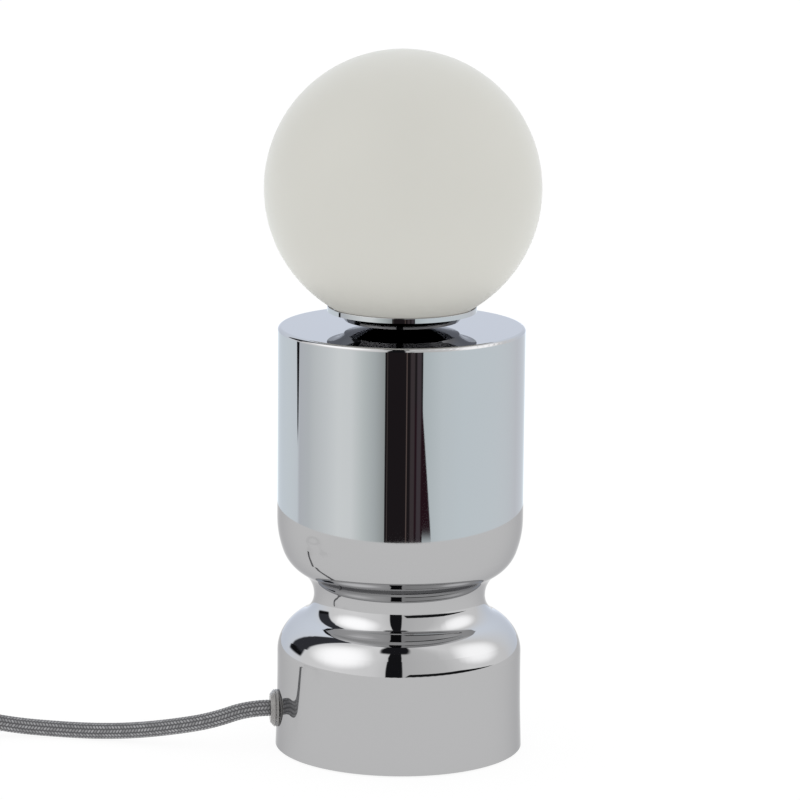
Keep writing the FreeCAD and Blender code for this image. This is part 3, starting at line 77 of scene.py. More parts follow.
def brightness(name, description, default):
    return FloatProperty(name=name, description=description, default=default, min=0)


def angle(name, description, degrees):
    return FloatProperty(name=name, description=description, default=math.radians(degrees), unit="ROTATION")


class LampSettings(PropertyGroup):
    """Finishes of the lamp itself."""

    metal: colour("Mirror metal", "Reflected tint of the plated body", (0.46, 0.46, 0.465))
    metal_rim: colour("Mirror rim", "Tint of the plated body seen at a low angle", (0.66, 0.66, 0.67))
    metal_haze: share("Polish haze", "Roughness of the plated body", 0.018)
    glass: colour("Opal glass", "Colour of the globe", (0.38, 0.377, 0.350))
    # The glass glow is painted light: an even glow that fills the ball's shade, lifting its underside towards
    # its top's brightness
    glass_painted_glow: share("Glass glow", "Light that the opal glass passes on from within", 0.24)
    glass_gloss: share("Glass gloss", "Roughness of the globe", 0.5)
    globe_radius: length("Globe radius", "Outside of the glass ball", 0.06)
    globe_wall: length("Glass wall", "Thickness of the blown glass", 0.0026)
    mouth_radius: length("Mouth radius", "Round opening underneath", 0.0246)
    globe_height: length("Globe height", "Centre of the ball over the table", 0.24788)
    bushing: colour("Cord bushing", "Colour of the clear bushing", (0.40, 0.39, 0.38))


class CordSettings(PropertyGroup):
    """Size and braid of the two cord stretches."""

    thickness: length("Cord diameter", "Diameter over the braid", 0.0072)
    stitch: length("Stitch", "Length of one stitch of the braid along the cord", 0.00145)
    columns: count("Columns", "Columns of stitches round the cord", 12)
    relief: length("Relief", "Height of a stitch over the groove beside it", 0.00028)
    # Dark yarn is painted shade in the grooves between the stitches, and Light yarn the stitches' tops,
    # painted lighter as a highlight
    light: colour("Light yarn", "Colour of the yarn's top", (0.30, 0.30, 0.31))
    dark: colour("Dark yarn", "Colour of the yarn in the grooves", (0.075, 0.075, 0.08))


class StageSettings(PropertyGroup):
    """Floor, surroundings and camera."""

    floor: colour("Floor", "Colour of the plain floor", (0.12, 0.12, 0.12))
    floor_glow: share("Floor glow", "Light that the translucent floor lets through from below", 0.90)
    daylight: brightness("Room light", "Brightness of the even light from all round", 0.98)
    screens: brightness("Screens", "Brightness of what the mirror body shows", 1.087)
    near_radius: length("Table radius", "Floor within this radius shows in the lamp's mirror", 0.49)
    far_radius: length("Floor radius", "Edge of the floor", 5.0)
    distance: length("Camera distance", "Level distance from the lamp's axis", 1.77167)
    height: length("Camera height", "Height over the table", 0.51235)
    bearing: angle("Bearing", "Direction of view", -6)
    pan: angle("Pan", "Turn of the camera to the left", 0.017)
    tilt: angle("Tilt", "Tilt downwards", 11.408)
    roll: angle("Roll", "Roll of the camera", 0.514)
    lens: FloatProperty(name="Lens", description="Focal length, in millimetres", default=186.9, unit="CAMERA")


# ---------------------------------------------------------------- shader trees


class Value:
    """A shader socket with Python arithmetic: every operation adds a Math node to its tree."""

    def __init__(self, tree, socket):
        self.tree, self.socket = tree, socket

    def math(self, operation, *others):
        return self.tree.add("ShaderNodeMath", {"operation": operation}, self, *others)

    def __neg__(self):
        return self.math("MULTIPLY", -1.0)

    def __add__(self, other):
        return self.math("ADD", other)

    __radd__ = __add__

    def __mul__(self, other):
        return self.math("MULTIPLY", other)

    __rmul__ = __mul__

    def __sub__(self, other):
        return self.math("SUBTRACT", other)

    def __rsub__(self, other):
        return self.tree.add("ShaderNodeMath", {"operation": "SUBTRACT"}, other, self)

    def __truediv__(self, other):
        return self.math("DIVIDE", other)

    def __abs__(self):
        return self.math("ABSOLUTE")

    def sin(self):
        return self.math("SINE")

    def floor(self):
        return self.math("FLOOR")

    def fract(self):
        return self.math("FRACT")

    def smooth(self, low, high):
        """0 below low, 1 above high, and a smooth step between."""
        made = self.tree.node("ShaderNodeMapRange", {"interpolation_type": "SMOOTHSTEP"}, self, low, high)
        return Value(self.tree, made.outputs["Result"])


MIX_INPUTS = (0, 6, 7)  # a Mix node's sockets for factor and two colours
MIX_RESULT = 2  # its socket for the colour that comes out


class Tree:
    """The node tree of a material, of the world or of a modifier, emptied."""

    def __init__(self, held):
        self.nodes, self.links = held.nodes, held.links
        self.nodes.clear()

    def node(self, kind, settings=None, *inputs, **named):
        made = self.nodes.new(kind)
        for name, value in (settings or {}).items():
            if name == "stops":
                self.stops(made.color_ramp, value)
            else:
                setattr(made, name, value)
        for key, value in (*enumerate(inputs), *((k.replace("_", " "), v) for k, v in named.items())):
            socket = made.inputs[key]
            if isinstance(value, list):
                for each in reversed(value):
                    self.links.new(each.socket, socket)
            elif isinstance(value, Value):
                self.links.new(value.socket, socket)
            elif isinstance(value, tuple) and len(value) == 3 and socket.type == "RGBA":
                socket.default_value = (*value, 1)
            else:
                socket.default_value = value
        return made

    def add(self, kind, settings=None, *inputs, out=0, **named):
        return Value(self, self.node(kind, settings, *inputs, **named).outputs[out])

    @staticmethod
    def stops(ramp, stops):
        while len(ramp.elements) < len(stops):
            ramp.elements.new(1)
        for element, (place, tone) in zip(ramp.elements, stops):
            element.position = place
            element.color = (*tone, 1) if isinstance(tone, tuple) else (tone, tone, tone, 1)

    def ramp(self, value, stops):
        return self.add("ShaderNodeValToRGB", {"stops": stops}, value)

    def mix(self, amount, first, second):
        """Mix of two colours."""
        made = self.nodes.new("ShaderNodeMix")
        made.data_type = "RGBA"
        for key, value in zip(MIX_INPUTS, (amount, first, second)):
            if isinstance(value, Value):
                self.links.new(value.socket, made.inputs[key])
            else:
                made.inputs[key].default_value = (*value, 1)
        return Value(self, made.outputs[MIX_RESULT])

    def place(self, output="Object"):
        return self.add("ShaderNodeTexCoord", out=output)

    def split(self, vector):
        made = self.node("ShaderNodeSeparateXYZ", None, vector)
        return [Value(self, made.outputs[k]) for k in range(3)]

    def noise(self, where, scale, detail=3.0, roughness=0.5, stretch=None):
        if stretch:
            where = self.add("ShaderNodeMapping", None, where, Scale=Vector(stretch))
        return self.add("ShaderNodeTexNoise", None, where, Scale=scale, Detail=detail, Roughness=roughness)

    def bump(self, height, strength, distance):
        return self.add("ShaderNodeBump", None, Strength=strength, Distance=distance, Height=height)


def tone(base, factor):
    return tuple(min(1.0, c * factor) for c in base)


def finish_material(name, build):
    """A material whose Principled shader gets what build(tree) returns."""
    material = bpy.data.materials.new(name)
    material.use_nodes = True
    tree = Tree(material.node_tree)
    surface = tree.add("ShaderNodeBsdfPrincipled", None, **build(tree))
    tree.node("ShaderNodeOutputMaterial", None, surface)
    return material


def dress(material, *names):
    """Gives a material to whole CAD nodes."""
    for name in names:
        mesh = NODES[name].data
        mesh.materials.clear()
        mesh.materials.append(material)


# ---------------------------------------------------------------- finishes


def mirror_metal(settings):
    """Plated mirror finish, with the faint haze and waviness of polished spun sheet."""

    def build(tree):
        where = tree.place()
        cloud = tree.noise(where, 9.0, 2.0)
        smear = tree.noise(where, 60.0, 4.0, 0.6, (1, 1, 0.35))
        tint = tree.mix(cloud, tone(settings.metal, 0.98), tone(settings.metal, 1.02))
        return dict(
            Base_Color=tint,
            Metallic=1.0,
            Specular_Tint=tuple(settings.metal_rim),
            Roughness=settings.metal_haze * (0.5 + smear),
            Normal=tree.bump(tree.noise(where, 22.0, 1.0), 0.012, 0.0004),
        )

    return finish_material("mirror_metal", build)


def opal_glass(settings):
    """Satin opal glass, a little uneven in tone, as blown glass is, with a painted glow that fills its shade.
    """

    def build(tree):
        where = tree.place()
        cloud = tree.noise(where, 12.0, 2.0)
        grain = tree.noise(where, 1400.0, 2.0)
        return dict(
            Base_Color=tree.mix(cloud, tone(settings.glass, 0.985), tone(settings.glass, 1.015)),
            Roughness=settings.glass_gloss + (cloud - 0.5) * 0.06,
            Subsurface_Weight=0.25,
            Subsurface_Radius=Vector((0.012, 0.012, 0.011)),
            Subsurface_Scale=1.0,
            # painted light: an even warm glow that fills the ball's shade, so its underside is nearly as
            # bright as its top
            Emission_Color=(1.0, 0.99, 0.93),
            Emission_Strength=settings.glass_painted_glow,
            IOR=1.45,
            Specular_IOR_Level=0.35,
            Normal=tree.bump(grain, 0.05, 0.00005),
        )

    return finish_material("opal_glass", build)


def clear_bushing(settings):
    """Milky clear plastic of the cord bushing."""

    def build(tree):
        where = tree.place()
        cloud = tree.noise(where, 160.0, 3.0)
        return dict(
            Base_Color=tree.mix(cloud, tone(settings.bushing, 0.85), tone(settings.bushing, 1.15)),
            Roughness=0.22 + cloud * 0.1,
            Transmission_Weight=0.35,
            IOR=1.46,
            Normal=tree.bump(cloud, 0.08, 0.0002),
        )

    return finish_material("clear_bushing", build)


LEAN = 0.75  # how far a stitch of the braid slants over its column, in stitches
GROOVE, TOP = 0.15, 0.8  # heights of a stitch between which the painted groove shade turns to the lighter, painted top


def braid(settings):
    """Textile braid: columns of slanting stitches, every second column leaning the other way, with painted
    shade in the grooves.
    """

    def build(tree):
        along, round_, _ = tree.split(tree.place("UV"))
        column = round_ * settings.columns
        across = column.fract()
        odd = (column.floor() * 0.5).fract() * 2
        slant = (across - 0.5) * (1 - odd * 2)
        phase = along / settings.stitch + slant * LEAN + odd * 0.5
        lobe = abs((phase * math.pi).sin())
        crown = (across * math.pi).sin() * lobe
        fibre = tree.noise(tree.place("UV"), 900.0, 2.0, 0.5, (1, 0.04, 1))
        cell = tree.add(
            "ShaderNodeTexWhiteNoise",
            {"noise_dimensions": "2D"},
            tree.add("ShaderNodeCombineXYZ", None, phase.floor(), column.floor(), 0.0),
        )
        top = tree.mix(cell, tone(settings.light, 0.75), tone(settings.light, 1.25))
        return dict(
            # painted shade and highlight: dark in the grooves between stitches, lighter on their tops, each
            # top's tone differing at random
            Base_Color=tree.mix(crown.smooth(GROOVE, TOP), settings.dark, top),
            Roughness=0.55 + fibre * 0.3,
            Sheen_Weight=0.2,
            Normal=tree.bump(crown + fibre * 0.25, 0.6, 0.0002),
        )

    return finish_material("grey_braid", build)


def plain_finish(name, base, roughness, metallic=0.0, grain=300.0, bump=0.05, uneven=0.08, **more):
    """Moulded, cast, plated or ground surface: a base tone with grain of its own scale."""

    def build(tree):
        where = tree.place()
        fine = tree.noise(where, grain, 4.0, 0.6)
        broad = tree.noise(where, grain / 12, 2.0)
        return dict(
            Base_Color=tree.mix(broad, tone(base, 1 - uneven), tone(base, 1 + uneven)),
            Metallic=metallic,
            Roughness=roughness * (0.85 + fine * 0.3),
            Normal=tree.bump(fine, bump, 0.0003),
            **more,
        )

    return finish_material(name, build)


# Base tone, roughness and metallic; grain and other extras; nodes.
PLAIN = {
    "black_foam": (((0.03, 0.03, 0.032), 0.9), dict(grain=1500.0, bump=0.6), ["foot_pad"]),
    "zinc_steel": (
        ((0.56, 0.56, 0.54), 0.32, 1.0),
        dict(grain=700.0),
        [
            "base_plate", "seat_ring", "stem_tube", "base_washer", "stem_nuts", "holder_bracket",
            "holder_screws", "clamp_screws", "terminal_screws", "switch_screws",
        ],
    ),
    "cast_iron": (((0.10, 0.10, 0.10), 0.7), dict(grain=500.0, bump=0.5), ["ballast_disc"]),
    "soft_ring": (((0.55, 0.55, 0.54), 0.5), dict(grain=600.0), ["dish_gasket"]),
    "spring_steel": (((0.62, 0.62, 0.61), 0.22, 1.0), dict(grain=900.0), ["spring_clips", "bulb_pins"]),
    "white_ceramic": (((0.82, 0.80, 0.76), 0.55), dict(grain=900.0, bump=0.12), ["lampholder_body"]),
    "brass": (
        ((0.74, 0.56, 0.26), 0.3, 1.0),
        dict(grain=700.0),
        ["holder_contacts", "terminal_inserts", "switch_contacts"],
    ),
    "white_plastic": (((0.80, 0.80, 0.78), 0.4), {}, ["bulb_base", "gland_nut", "terminal_block"]),
    "frosted_cover": (
        ((0.88, 0.87, 0.83), 0.5),
        dict(grain=1200.0, Subsurface_Weight=0.2),
        ["bulb_cover"],
    ),
    "board": (((0.80, 0.74, 0.40), 0.35), {}, ["bulb_board"]),
    "black_plastic": (((0.03, 0.03, 0.03), 0.45), {}, ["cord_clamp", "plug_sleeves"]),
    "brown_wire": (((0.20, 0.11, 0.06), 0.4), {}, ["cord_cores", "switch_cores"]),
    "white_wire": (((0.78, 0.76, 0.72), 0.45), {}, ["lamp_wires"]),
    "grey_plastic": (
        ((0.30, 0.30, 0.31), 0.45),
        dict(grain=1800.0, bump=0.15),
        ["switch_base", "switch_cover", "switch_rocker", "plug_body"],
    ),
    "nickel_pins": (((0.70, 0.69, 0.66), 0.25, 1.0), dict(grain=800.0), ["plug_pins"]),
}


# ---------------------------------------------------------------- glass ball

ROUND, ALONG = 144, 64  # faces of the ball round its axis, and from its mouth to its crown
WELD = 0.00001  # points of the ball closer than this are one
LIP = 0.0008  # rounding of its mouth's edges
LIP_STEPS = 3
LIP_ANGLE = math.radians(40)  # edges sharper than this are rounded


def ball_group(material):
    """Geometry nodes for a blown ball with a mouth underneath: skin, hollow and the lip between them."""
    group = bpy.data.node_groups.new("blown_ball", "GeometryNodeTree")
    for name in ("Radius", "Wall", "Mouth radius", "Centre height"):
        group.interface.new_socket(name, in_out="INPUT", socket_type="NodeSocketFloat").subtype = "DISTANCE"
    group.interface.new_socket("Geometry", in_out="OUTPUT", socket_type="NodeSocketGeometry")
    tree = Tree(group)
    given = tree.node("NodeGroupInput")
    radius, wall, mouth, centre = (Value(tree, given.outputs[k]) for k in range(4))

    def band(rows, reach_and_height):
        """A strip of faces turned about the axis; reach and height follow the way along it, 0 to 1."""
        grid = tree.node("GeometryNodeMeshGrid", None, Vertices_X=ROUND + 1, Vertices_Y=rows + 1)
        turn, way, _ = tree.split(Value(tree, grid.outputs["UV Map"]))
        reach, height = reach_and_height(way)
        turned = turn * TAU
        across, back = reach * turned.math("COSINE"), reach * turned.math("SINE")
        place = tree.add("ShaderNodeCombineXYZ", None, across, back, centre + height)
        return tree.add("GeometryNodeSetPosition", None, Value(tree, grid.outputs["Mesh"]), Position=place)

    def shell(size, down):
        """Arc from the mouth's edge to the crown, or the other way down."""
        foot = -(mouth / size).math("ARCCOSINE")

        def arc(way):
            level = math.pi / 2 + (foot - math.pi / 2) * (way if down else 1 - way)
            return size * level.math("COSINE"), size * level.math("SINE")

        return arc, size * foot.math("SINE")

    hollow = radius - wall
    skin_arc, skin_foot = shell(radius, False)
    hollow_arc, hollow_foot = shell(hollow, True)
    lip = band(1, lambda way: (mouth, hollow_foot + (skin_foot - hollow_foot) * way))
    whole = tree.add("GeometryNodeJoinGeometry", None, [band(ALONG, skin_arc), band(ALONG, hollow_arc), lip])
    welded = tree.add("GeometryNodeMergeByDistance", None, whole, Distance=WELD)
    smooth = tree.add("GeometryNodeSetShadeSmooth", None, welded)
    real = tree.add("GeometryNodeRealizeInstances", None, smooth)
    finished = tree.add("GeometryNodeSetMaterial", None, real, Material=material)
    tree.node("NodeGroupOutput", None, finished)
    return group


def from_nodes(name, group, **sizes):
    """A plain mesh object from a group of geometry nodes and its sizes, its lips rounded."""
    made = bpy.data.objects.new(name, bpy.data.meshes.new(name))
    bpy.context.scene.collection.objects.link(made)
    modifier = made.modifiers.new(name, "NODES")
    modifier.node_group = group
    for item in group.interface.items_tree:
        if item.in_out == "INPUT":
            modifier[item.identifier] = sizes[item.name.replace(" ", "_")]
    lip = made.modifiers.new("lip", "BEVEL")
    lip.width, lip.segments, lip.angle_limit = LIP, LIP_STEPS, LIP_ANGLE
    bpy.context.view_layer.update()
    made.data = bpy.data.meshes.new_from_object(made.evaluated_get(bpy.context.evaluated_depsgraph_get()))
    made.modifiers.clear()
    return made


# ---------------------------------------------------------------- cords

# The routes' points in millimetres, as the solids have them; where the cord rests on the table or on its own
# turns it lies 0.2 mm higher, because it is drawn a little thicker.
LAMP_SIDE = [
    (-56.8, 0.0, 17.3),
    (-66.5, 0.0, 17.3),
    (-82.0, 0.8, 11.8),
    (-99.0, 4.5, 8.2),
    (-117.0, 10.8, 5.0),
    (-134.0, 16.4, 3.6),
    (-151.0, 21.2, 3.6),
    (-168.5, 24.6, 4.6),
    (-186.0, 25.5, 8.0),
    (-202.0, 25.5, 8.0),
]
TO_COIL = [
    (-248.0, 25.5, 8.0),
    (-263.0, 25.5, 8.0),
    (-278.5, 29.4, 4.6),
    (-293.0, 37.2, 3.6),
    (-308.0, 46.6, 3.6),
    (-324.2, 50.84, 3.6),
]
TO_PLUG = [
    (-325.2, -50.84, 10.7),
    (-309.0, -47.5, 9.6),
    (-293.0, -41.5, 7.9),
    (-277.5, -35.96, 6.85),
    (-262.0, -38.0, 6.85),
]
COIL = dict(x=-345.0, mean=40.8, pitch=7.3, turns=5.5, points=24, low=3.6)
SWITCH = ["switch_base", "switch_cover", "switch_rocker", "switch_contacts", "switch_screws", "switch_cores"]
PLUG = ["plug_body", "plug_pins", "plug_sleeves"]
OFF_CAMERA = [*SWITCH, *PLUG]  # outside the picture like the coil, and kept out of the body's mirror image


CURVE_STEPS = 24  # points of a smooth line between two of its control points
MESH_RELIEF = 0.6  # share of the braid's relief that the tube's points have


def coil_points():
    """Control points of the put-away coil: in along the floor, up at the middle, and out on top."""
    total = COIL["turns"] * TAU
    inner = COIL["mean"] - COIL["pitch"] * COIL["turns"] / 4
    steps = round(COIL["turns"] * COIL["points"])
    outside = 2 / (1 + math.cos(TAU / COIL["points"] / 2) ** 2)
    points = []
    for k in range(steps + 1):
        away = total * (k / steps - 0.5)
        reach = abs(away) if abs(away) > math.pi / 4 else away**2 * 2 / math.pi + math.pi / 8
        radius = (inner + COIL["pitch"] * reach / TAU) * outside
        share_up = min(max(away / math.pi + 0.5, 0), 1)
        height = COIL["low"] + COIL["pitch"] * share_up**2 * (3 - 2 * share_up)
        turn = total * k / steps + math.pi / 2
        points.append((COIL["x"] + radius * math.cos(turn), radius * math.sin(turn), height))
    return points


def smooth_line(name, route):
    """The points along the NURBS spline that has a route's points, in metres, as its control points."""
    curve = bpy.data.curves.new(name, "CURVE")
    curve.dimensions = "3D"
    curve.resolution_u = CURVE_STEPS
    spline = curve.splines.new("NURBS")
    spline.points.add(len(route) - 1)
    for point, place in zip(spline.points, route):
        point.co = (*(v / 1000 for v in place), 1)
    spline.order_u = 3
    spline.use_endpoint_u = True
    holder = bpy.data.objects.new(name, curve)
    bpy.context.scene.collection.objects.link(holder)
    bpy.context.view_layer.update()
    mesh = bpy.data.meshes.new_from_object(holder.evaluated_get(bpy.context.evaluated_depsgraph_get()))
    line = np.array([v.co for v in mesh.vertices], float)
    bpy.data.objects.remove(holder)
    bpy.data.meshes.remove(mesh)
    return line


def evenly(line, step):
    """Points a step apart along a line."""
    along = np.concatenate([[0], np.cumsum(np.linalg.norm(np.diff(line, axis=0), axis=1))])
    marks = np.linspace(0, along[-1], max(2, round(along[-1] / step)) + 1)
    return marks, np.stack([np.interp(marks, along, line[:, k]) for k in range(3)], axis=1)


def braided_tube(name, route, settings, step, sides, material):
    """Tube along a route with the braid's stitches; its UV map is metres along and turns round."""
    marks, centres = evenly(smooth_line(name, route), step)
    ways = np.gradient(centres, axis=0)
    ways /= np.linalg.norm(ways, axis=1)[:, None]
    side = np.cross(ways[0], (0, 0, 1.0))
    frames = []
    for way in ways:
        side = side - way * side.dot(way)
        side /= np.linalg.norm(side)
        frames.append((side, np.cross(way, side)))
    turn = np.arange(sides) / sides
    columns, stitch = settings.columns, settings.stitch
    column = turn * columns
    across = column % 1
    odd = np.floor(column) % 2
    phase = marks[:, None] / stitch + ((across - 0.5) * (1 - 2 * odd) * LEAN + odd * 0.5)[None, :]
    crown = np.abs(np.sin(math.pi * phase)) * np.sin(math.pi * across)[None, :]
    radius = settings.thickness / 2 - settings.relief * (1 - crown) * MESH_RELIEF
    radius[[0, -1]] = settings.thickness / 2 - settings.relief
    points = np.array([
        centre[None, :]
        + radius[k][:, None] * (np.cos(TAU * turn)[:, None] * first + np.sin(TAU * turn)[:, None] * second)
        for k, (centre, (first, second)) in enumerate(zip(centres, frames))
    ])
    mesh = bpy.data.meshes.new(name)
    rings = len(centres)
    quads = [
        (k * sides + s, k * sides + (s + 1) % sides, (k + 1) * sides + (s + 1) % sides, (k + 1) * sides + s)
        for k in range(rings - 1)
        for s in range(sides)
    ]
    caps = [tuple(reversed(range(sides))), tuple((rings - 1) * sides + s for s in range(sides))]
    mesh.from_pydata(points.reshape(-1, 3).tolist(), [], quads + caps)
    layer = mesh.uv_layers.new(name="UVMap")
    corner = 0
    for polygon in mesh.polygons:
        polygon.use_smooth = True
        ring, spot = divmod(polygon.index, sides)
        if ring < rings - 1:
            for r, s in ((ring, spot), (ring, spot + 1), (ring + 1, spot + 1), (ring + 1, spot)):
                layer.data[corner].uv = (marks[r], s / sides)
                corner += 1
        else:
            for _ in polygon.vertices:
                layer.data[corner].uv = (marks[-1], 0.5)
                corner += 1
    mesh.materials.append(material)
    piece = bpy.data.objects.new(name, mesh)
    bpy.context.scene.collection.objects.link(piece)
    return piece, centres


# ---------------------------------------------------------------- operators


SENSOR = 36  # width of the camera's picture, in millimetres


class LAMP_OT_camera(Operator):
    """Place the camera at the photograph's viewing angle"""

    bl_idname = "lamp.camera"
    bl_label = "Camera"

    def execute(self, context):
        stage = context.scene.lamp_stage
        forward = Vector((-math.sin(stage.bearing), math.cos(stage.bearing), 0))
        eye = -forward * stage.distance + Vector((0, 0, stage.height))
        forward = Matrix.Rotation(stage.pan, 3, "Z") @ forward
        look = forward * math.cos(stage.tilt) - Vector((0, 0, math.sin(stage.tilt)))
        right = forward.cross(Vector((0, 0, 1)))
        up = right.cross(look)
        side = right * math.cos(stage.roll) + up * math.sin(stage.roll)
        turned = Matrix((side, up * math.cos(stage.roll) - right * math.sin(stage.roll), -look)).transposed()
        camera = bpy.data.objects.new("camera", bpy.data.cameras.new("camera"))
        camera.data.sensor_width = SENSOR
        camera.data.lens = stage.lens
        camera.data.clip_end = 10 * stage.far_radius
        camera.matrix_world = Matrix.Translation(eye) @ turned.to_4x4()
        context.scene.collection.objects.link(camera)
        context.scene.camera = camera
        return {"FINISHED"}


class LAMP_OT_finishes(Operator):
    """Give each solid of the lamp its finish"""

    bl_idname = "lamp.finishes"
    bl_label = "Finishes"

    def execute(self, context):
        settings = context.scene.lamp_settings
        dress(mirror_metal(settings), "body_shell", "globe_dish", "dish_spacer")
        dress(clear_bushing(settings), "cord_gland")
        for name, (main, more, names) in PLAIN.items():
            dress(plain_finish(name, *main, **more), *names)
        return {"FINISHED"}


class LAMP_OT_globe(Operator):
    """Blow the opal glass ball in one piece"""

    bl_idname = "lamp.globe"
    bl_label = "Globe"

    def execute(self, context):
        settings = context.scene.lamp_settings
        ball = from_nodes(
            "opal_ball",
            ball_group(opal_glass(settings)),
            Radius=settings.globe_radius,
            Wall=settings.globe_wall,
            Mouth_radius=settings.mouth_radius,
            Centre_height=settings.globe_height,
        )
        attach(ball, "globe")
        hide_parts("globe_crown", "globe_bowl")
        return {"FINISHED"}


class LAMP_OT_cords(Operator):
    """Make the braided cord: the stretch to the switch, and the coil and tail to the plug"""

    bl_idname = "lamp.cords"
    bl_label = "Cords"

    def execute(self, context):
        settings = context.scene.lamp_cord
        material = braid(settings)
        stitch, columns = settings.stitch, settings.columns
        lead, line = braided_tube("lamp_lead", LAMP_SIDE, settings, stitch / 4, columns * 4, material)
        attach(lead, "lamp")
        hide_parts("cord_lamp_side")
        route = TO_COIL + coil_points()[1:-1] + TO_PLUG
        mains, line = braided_tube("mains_lead", route, settings, stitch / 2, columns * 3, material)
        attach(mains, "lamp")
        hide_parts("cord_mains_side", "cord_coil", "cord_tail")
        dress(material, "inner_cord")
        for piece in (mains, *(NODES[name] for name in OFF_CAMERA)):
            piece.visible_glossy = False
        return {"FINISHED"}


class LAMP_OT_stage(Operator):
    """Make the plain floor and the soft surroundings"""

    bl_idname = "lamp.stage"
    bl_label = "Stage"

    def execute(self, context):
        stage = context.scene.lamp_stage
        material = plain_floor(stage)
        near = ring_floor("floor_near", 0.0, stage.near_radius, material)
        far = ring_floor("floor_far", stage.near_radius, stage.far_radius, material)
        far.visible_glossy = False
        surroundings(context.scene, stage)
        context.scene.view_settings.view_transform = "Standard"
        return {"FINISHED"}


FLOOR_SIDES = 96


def ring_floor(name, inner, outer, material):
    """Flat ring or disc on the table's level, facing up."""
    steps = FLOOR_SIDES
    around = [(math.cos(TAU * k / steps), math.sin(TAU * k / steps)) for k in range(steps)]
    points = [(outer * x, outer * y, 0) for x, y in around]
    if inner:
        points += [(inner * x, inner * y, 0) for x, y in around]
        faces = [(k, (k + 1) % steps, steps + (k + 1) % steps, steps + k) for k in range(steps)]
    else:
        faces = [tuple(range(steps))]
    mesh = bpy.data.meshes.new(name)
    mesh.from_pydata(points, [], faces)
    mesh.materials.append(material)
    floor = bpy.data.objects.new(name, mesh)
    bpy.context.scene.collection.objects.link(floor)
    return floor


def plain_floor(stage):
    """White translucent table, lit from below as well."""

    def build(tree):
        cloud = tree.noise(tree.place(), 3.0)
        return dict(
            Base_Color=tree.mix(cloud, tone(stage.floor, 0.995), tone(stage.floor, 1.0)),
            Roughness=0.9,
            Specular_IOR_Level=0.0,
            Emission_Color=(1.0, 1.0, 1.0),
            Emission_Strength=stage.floor_glow,
        )

    return finish_material("pale_floor", build)


# What the mirror body shows of the studio, by bearing (degrees from the camera, positive to its right in the
# picture), as brightness or colour. Light screens all round, above the table's far edge:
BEHIND = (1.22, 1.31, 1.46)
SCREENS = [
    (-180, BEHIND),
    (-140, (1.10, 1.18, 1.30)),
    (-100, 1.1),
    (-60, 1.2),
    (-25, 1.1),
    (5, 0.76),
    (45, 0.86),
    (70, 1.1),
    (120, 1.05),
    (150, (1.12, 1.20, 1.32)),
    (180, BEHIND),
]
# and just under the level of the table's far edge:
EDGE_BEHIND = (1.27, 1.39, 1.47)
TABLE_EDGE = [
    (-180, EDGE_BEHIND),
    (-150, (1.22, 1.34, 1.42)),
    (-127, (1.08, 1.18, 1.24)),
    (-112, (1.0, 1.08, 1.14)),
    (-109, (0.80, 0.84, 0.89)),
    (-96, (0.82, 0.87, 0.90)),
    (-88, (0.90, 0.95, 0.97)),
    (-74, (1.0, 1.05, 1.07)),
    (-60, (1.12, 1.17, 1.18)),
    (-47, (1.10, 1.15, 1.16)),
    (-35, (0.86, 0.93, 0.93)),
    (-24, (0.68, 0.74, 0.75)),
    (-15.3, (0.50, 0.54, 0.54)),
    (24, (0.80, 0.89, 0.92)),
    (39, (0.92, 1.01, 1.05)),
    (60, (0.95, 1.05, 1.10)),
    (94, (0.97, 1.06, 1.11)),
    (120, (1.0, 1.07, 1.12)),
    (135, (1.04, 1.08, 1.14)),
    (150, (1.20, 1.27, 1.34)),
    (180, EDGE_BEHIND),
]
EDGE = (-9.6, -8.4)  # elevations between which the one gives way to the other
# Lamps and dark gaps in front of them. A glow has a brightness, a middle and a reach. A gap has a colour, its
# left and right side (bearings at foot and head), its elevations, and how soft its sides and ends are.
GLOWS = [(1.95, (-66, 36), (43, 36)), (1.8, (92, 32), (32, 30))]
GAPS = [
    # tall gap on the left, its foot, and the thin post under it
    ((0.050, 0.052, 0.062), (-129, -129), (-106, -106), (5, 65), (2, 3)),
    ((0.010, 0.010, 0.012), (-128, -128), (-107, -107), (5, 12), (2, 2)),
    ((0.010, 0.010, 0.012), (-112.5, -115.5), (-111.0, -107.5), (-11.9, -9.0), (0.4, 0.2)),
    # dark strip in the middle, low down: its ground, its slanting right foot, and four paler seams
    ((0.020, 0.016, 0.018), (-14.8, -14.8), (20, 20), (-16, -8.6), (0.35, 0.3)),
    ((0.030, 0.012, 0.018), (10, 10), (28.6, 19.6), (-13.3, -11.5), (0.35, 0.1)),
    ((0.10, 0.085, 0.08), (-12.9, -12.9), (-12.3, -12.3), (-16, -8.6), (0.2, 0.3)),
    ((0.16, 0.12, 0.11), (4.7, 4.7), (5.6, 5.6), (-16, -8.6), (0.25, 0.3)),
    ((0.075, 0.06, 0.065), (8.5, 8.5), (12.5, 12.5), (-16, -8.6), (0.8, 0.3)),
    ((0.085, 0.07, 0.08), (14.5, 14.5), (18.5, 18.5), (-16, -8.6), (0.8, 0.3)),
    # the strip higher up, its wide head, and the thin line that runs to the right from its foot
    ((0.012, 0.012, 0.014), (-12.5, -12.5), (3.5, 3.5), (-9, 66), (0.8, 0.6)),
    ((0.015, 0.015, 0.018), (-28, -54), (14, 35), (62, 86), (5, 3)),
    ((0.012, 0.012, 0.014), (6, 10), (100, 60), (-5.0, 2.2), (1.0, 0.4)),
]


